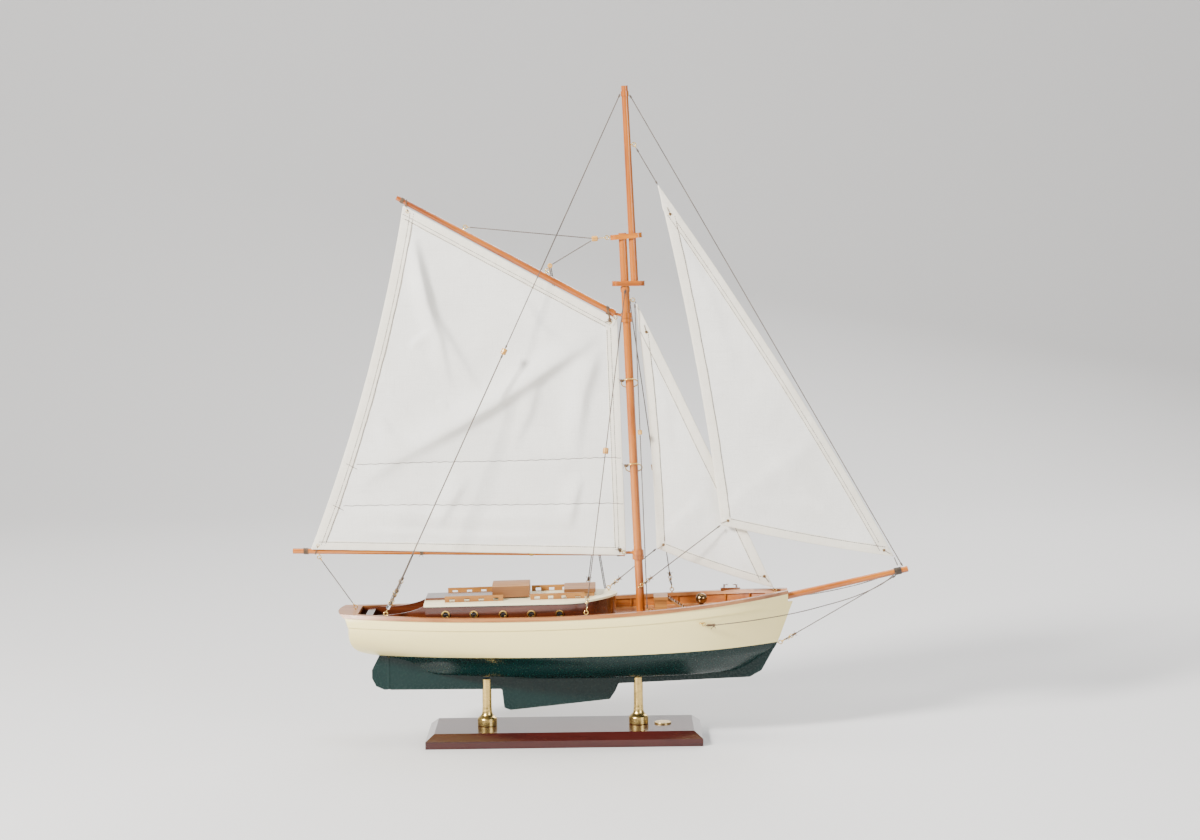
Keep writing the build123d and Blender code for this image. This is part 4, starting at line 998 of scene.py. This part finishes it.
def main_relief(x, z):
    """Belly to port, creases from throat and peak, and the slight pull of both reef seams."""
    head, foot = straight_gap(x, z, MAIN_PEAK, MAIN_THROAT), straight_gap(x, z, MAIN_CLEW, MAIN_TACK)
    free = np.clip(head / 26, 0, 1) * np.clip(foot / 16, 0, 1)
    belly = -3.0 * np.sin(np.clip((x + 250) / 310, 0, 1) * math.pi) * free
    folds = sum(fold.at(x, z) for fold in MAIN_FOLDS) * free
    seams = sum(-0.55 * np.exp(-(straight_gap(x, z, *reef) / 2.2) ** 2) for reef in REEFS)
    loose = ripple(x, z, 3.0, 17.0, 0.95) + ripple(x, z, 8.0, 6.0, 0.22)
    return belly + folds + seams * free + loose * free


def headsail_relief(folds, belly, middle, reach, seed):
    """A function for a round belly about a middle point, with folds and slow ripples."""
    def relief(x, z):
        bowl = np.exp(-((x - middle[0]) / reach[0]) ** 2 - ((z - middle[1]) / reach[1]) ** 2)
        total = belly * bowl + sum(fold.at(x, z) for fold in folds)
        return total + ripple(x, z, seed, 16.0, 0.75) + ripple(x, z, seed + 4, 5.5, 0.18)
    return relief


MAIN = Sail("mainsail", RIG, [(x, MAIN_Y, z) for x, z in (MAIN_PEAK, MAIN_THROAT, MAIN_TACK, MAIN_CLEW)],
            (0, 0, 0, -9.0), main_relief, {"leech": 12.0, "luff": 11.0, "head": 11.5, "foot": 8.0})

# Each reef seam is one thread over the cloth and a slanting or level end over the hem at either side.
seams = Parts()
for (ax, az), (bx, bz) in REEFS:
    line = [(ax + 11 + (bx - ax - 20) * n / 180, MAIN_Y, az + (bz - az) * n / 180 + 0.5 * math.sin(n / 23))
            for n in range(181)]
    MAIN.cord_along(seams, np.array(line), CLOTH_HALF + 0.12, 0.27, wave=0.30)
    aft_end = [(ax + 0.6 + k * 10.5 / 8, MAIN_Y, az + 1.2 - 1.7 * 3.2 * k / 8) for k in range(9)]
    MAIN.cord_along(seams, np.array(aft_end), HEM_HALF + 0.18, 0.26)
    fore_end = [(bx - 9 + k * 9.6 / 6, MAIN_Y, bz + 0.4 * math.sin(k)) for k in range(7)]
    MAIN.cord_along(seams, np.array(fore_end), HEM_HALF + 0.22, 0.26)
seam_piece = seams.piece("mainsail_reef_seams", "stitch", RIG, slot="thread")
build_sail(MAIN, 170, 150,
           [("leech", 11.2, 6, 8), ("leech", 7.6, 6, 8), ("head", 7.3, 4, 4), ("head", 10.7, 8, 8),
            ("luff", 6.4, 8, 4), ("luff", 10.2, 10, 8), ("foot", 7.2, 8, 8)])

JIB = Sail("jib", HULL,
           ((100.2, -1.0, 554.1), (100.2, -1.0, 554.1), (331.8, -0.5, 181.0), (160.0, -6.0, 215.5)),
           (0, 6.0, 2.0, -5.0),
           headsail_relief([Fold([(104, 545), (150, 440), (178, 350)], 1.2, 7.0),
                            Fold([(158, 222), (200, 260), (262, 300)], 1.6, 8.0),
                            Fold([(325, 186), (262, 232), (205, 288)], 1.3, 7.0),
                            Fold([(180, 235), (230, 236), (280, 222)], 0.9, 5.0)],
                           4.5, (205, 300), (70, 120), 5.0),
           {"leech": 9.5, "luff": 10.0, "foot": 8.5})
build_sail(JIB, 90, 200,
           [("leech", 8.9, 34, 8), ("luff", 9.3, 30, 12), ("luff", 6.1, 40, 20), ("foot", 7.7, 8, 10)])

STAYSAIL = Sail("staysail", HULL,
                ((77.5, 0.0, 437.0), (77.5, 0.0, 437.0), (210.8, 0.0, 150.9), (95.4, 10.0, 191.1)),
                (0, 1.0, 2.0, -3.0),
                headsail_relief([Fold([(80, 428), (104, 340), (112, 260)], 1.0, 6.0),
                                 Fold([(97, 196), (122, 222), (150, 250)], 1.3, 6.0),
                                 Fold([(206, 156), (165, 196), (128, 240)], 1.1, 6.0)],
                                3.5, (125, 250), (38, 80), 11.0),
                {"leech": 8.5, "luff": 9.5, "foot": 8.0})
build_sail(STAYSAIL, 70, 150,
           [("leech", 7.9, 30, 8), ("luff", 8.8, 28, 12), ("foot", 7.2, 8, 10)])


# ------------------------------------------------------------------ what ties the sails to the spars
BOOM_AFT, BOOM_FORE = BOOM_LINE
GAFF_PEAK, GAFF_THROAT = GAFF_LINE
BOOM_WAY, GAFF_WAY = (BOOM_FORE - BOOM_AFT).normalized(), (GAFF_THROAT - GAFF_PEAK).normalized()


def on_boom(x):
    return BOOM_AFT + BOOM_WAY * ((x - BOOM_AFT.x) / BOOM_WAY.x)


def on_gaff(x):
    return GAFF_PEAK + GAFF_WAY * ((x - GAFF_PEAK.x) / GAFF_WAY.x)


def bight(parts, cloth_point, spar_point, spar_way, spar_radius, wire, turns):
    """Turns of thread that go round a spar and through an eyelet of the sail."""
    down = cloth_point - spar_point
    down -= spar_way * down.dot(spar_way)
    down.normalize()
    side = spar_way.cross(down)
    for turn in range(turns):
        shift = spar_way * (turn - (turns - 1) / 2) * wire * 2.3
        loop = []
        for n in range(13):
            angle = math.pi * (0.5 + n / 12)
            loop.append(spar_point + shift + (down * math.cos(angle) + side * math.sin(angle)) * spar_radius)
        low = cloth_point + shift * 0.35
        loop = [low + side * 0.75] + loop + [low - side * 0.75]
        parts.tube(loop, wire, 6, closed=True)


def tails(parts, start, ways, length, wire=0.26):
    """Loose thread ends below a knot."""
    for n, way in enumerate(ways):
        way = Vector(way).normalized()
        points = [start + way * length * k / 5 + Vector((0.5 * math.sin(k + n), 0.3 * math.sin(k * 1.3), 0))
                  for k in range(6)]
        parts.tube(points, lambda share: wire * (1 - 0.35 * share), 6)


ties = Parts()
ties.wraps(on_gaff(-154.0), GAFF_WAY, 2.78, 5, 0.34)
ties.wraps(on_boom(-257.0), BOOM_WAY, 3.02, 6, 0.38)
ties.wraps(on_boom(-141.0), BOOM_WAY, 3.4, 4, 0.36)
ties.knot(on_boom(-141.0) + Vector((0, -3.8, -0.4)), 1.7, 0.36)
tails(ties, on_boom(-141.0) + Vector((0, -3.9, -1.0)), [(0.5, -0.1, -1), (-0.6, -0.1, -1)], 4.6)
PEAK_EYE, THROAT_EYE = (-148.9, 531.6), (51.0, 419.3)
TACK_EYE, CLEW_EYE = (58.6, 190.6), (-244.5, 199.4)
bight(ties, MAIN.on_cloth(*PEAK_EYE, 0.9), on_gaff(-151.0), GAFF_WAY, 2.95, 0.30, 2)
bight(ties, MAIN.on_cloth(*THROAT_EYE, 0.9), on_gaff(47.5), GAFF_WAY, 3.55, 0.36, 4)
ties.knot(MAIN.on_cloth(50.4, 421.5, 1.3), 1.9, 0.38)
tails(ties, MAIN.on_cloth(49.0, 420.6, 1.5), [(-1, -0.1, -0.25), (-0.9, -0.1, -0.6)], 3.6)
bight(ties, MAIN.on_cloth(*CLEW_EYE, 0.9), on_boom(-247.5), BOOM_WAY, 3.2, 0.30, 2)
bight(ties, MAIN.on_cloth(*TACK_EYE, 0.9), on_boom(56.0), BOOM_WAY, 3.7, 0.36, 3)
ties.knot(MAIN.on_cloth(57.4, 191.4, 1.4), 1.9, 0.38)
tails(ties, MAIN.on_cloth(56.6, 190.6, 1.5), [(-1, -0.1, 0.35), (0.5, -0.1, -1)], 3.4)

# The mast hoops hang tilted on the raked mast; each is lashed to the luff where it meets the sail's plane.
MAST_RAKE, MAST_FOOT_X, MAST_FOOT_Z = 0.03665, 79.3, 94.8
HOOP_RADIUS, HOOP_NORMAL = 8.3, Vector((-MAST_RAKE, 0.7, 1.0)).normalized()
fore = (FORE_AND_AFT - HOOP_NORMAL * FORE_AND_AFT.dot(HOOP_NORMAL)).normalized()
low = HOOP_NORMAL.cross(fore)
low *= -1 if low.y > 0 else 1
across = MAIN_Y / (HOOP_RADIUS * low.y)
back = math.sqrt(1 - across * across)
for z in (358.0, 273.0):
    near = Vector((MAST_FOOT_X - MAST_RAKE * (z - MAST_FOOT_Z), 0, z))
    near += (low * across - fore * back) * HOOP_RADIUS
    ties.wraps(near, low * back + fore * across, 0.95, 5, 0.26)
    ties.wraps(near + Vector((-1.5, -0.2, 0)), (0.1, 0.1, 1), 1.35, 3, 0.28)
    ties.knot(near + Vector((-2.2, -1.6, 0.4)), 1.4, 0.30)
    tails(ties, near + Vector((-2.4, -1.8, 0.6)), [(-1, -0.2, 0.7), (-0.4, -0.2, -1)], 3.4, 0.24)
ties.piece("mainsail_lashings", "lashing", RIG, slot="thread")

eyelets = Parts()
for place in (PEAK_EYE, THROAT_EYE, TACK_EYE, CLEW_EYE):
    MAIN.eyelet(eyelets, place, 1.45)
eyelets.ring(MAIN.on_cloth(61.6, 188.6, 1.4), (0.2, 1, 0), 1.7, 0.4)
eyelets.ring(MAIN.on_cloth(56.3, 424.0, 1.3), (0.3, 1, 0.2), 1.7, 0.4)
eyelets.piece("mainsail_eyelets", "brass", RIG, slot="fitting_brass")

# A headsail's corner eyelets, each with the way that its thread leads.
HEADSAIL_EYES = ((JIB, (111.8, 525.6), (-0.45, 0, 1)), (JIB, (166.0, 219.5), (-1, 0, -0.35)),
                 (JIB, (322.5, 186.8), (1, 0, -0.6)), (STAYSAIL, (87.0, 408.9), (-0.3, 0, 1)),
                 (STAYSAIL, (102.0, 194.4), (-0.8, 0, -0.6)), (STAYSAIL, (202.5, 162.0), (0.6, 0, -0.8)))
corner_ties, corner_rings = Parts(), Parts()
for sail, place, toward in HEADSAIL_EYES:
    sail.eyelet(corner_rings, place, 1.15)
    toward = Vector(toward).normalized()
    for face in (1, -1):
        start = sail.on_cloth(*place, face * 0.75)
        line = [start + toward * k * 1.5 + Vector((0, -face * 0.12 * k, 0)) for k in range(6)]
        corner_ties.tube(line, 0.30, 6)
    corner_ties.knot(sail.on_cloth(*place, 1.0), 1.35, 0.30)
corner_ties.piece("headsail_lashings", "lashing", HULL, slot="thread")
corner_rings.piece("headsail_eyelets", "brass", HULL, slot="fitting_brass")


# ------------------------------------------------------------------ porthole glass
PORTHOLES_X, PORTHOLE_Z = (-116.0, -88.0, -59.0, -31.0, -3.0), 132.8
CABIN_AFT_X, CABIN_AFT_HALF, CABIN_TAPER = -136.0, 38.0, 0.03676
PANE_SIDES, PANE_RINGS = 24, ((1.8, 0.48), (2.95, 0.2), (2.95, -0.3))


def add_pane(panes, x, side):
    """A slightly domed pane in a porthole: its middle, two rings in front and one behind."""
    wall = CABIN_AFT_HALF + CABIN_TAPER * (x - CABIN_AFT_X)
    verts = [Vector((x, side * (wall + 0.55), PORTHOLE_Z))]
    for radius, stand in PANE_RINGS:
        verts += [Vector((x + radius * math.cos(a), side * (wall + stand), PORTHOLE_Z + radius * math.sin(a)))
                  for a in circle(PANE_SIDES)]
    faces = []
    for k in range(PANE_SIDES):
        after = (k + 1) % PANE_SIDES
        faces.append((0, 1 + k, 1 + after))
        for low, high in ((1, 1 + PANE_SIDES), (1 + PANE_SIDES, 1 + 2 * PANE_SIDES)):
            faces.append((low + k, high + k, high + after, low + after))
    faces.append(tuple(1 + 2 * PANE_SIDES + k for k in range(PANE_SIDES)))
    panes.add(verts, faces)


panes = Parts()
for x in PORTHOLES_X:
    add_pane(panes, x, 1)
    add_pane(panes, x, -1)
finish_mesh(panes.piece("porthole_glass", "glass"))


low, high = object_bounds()
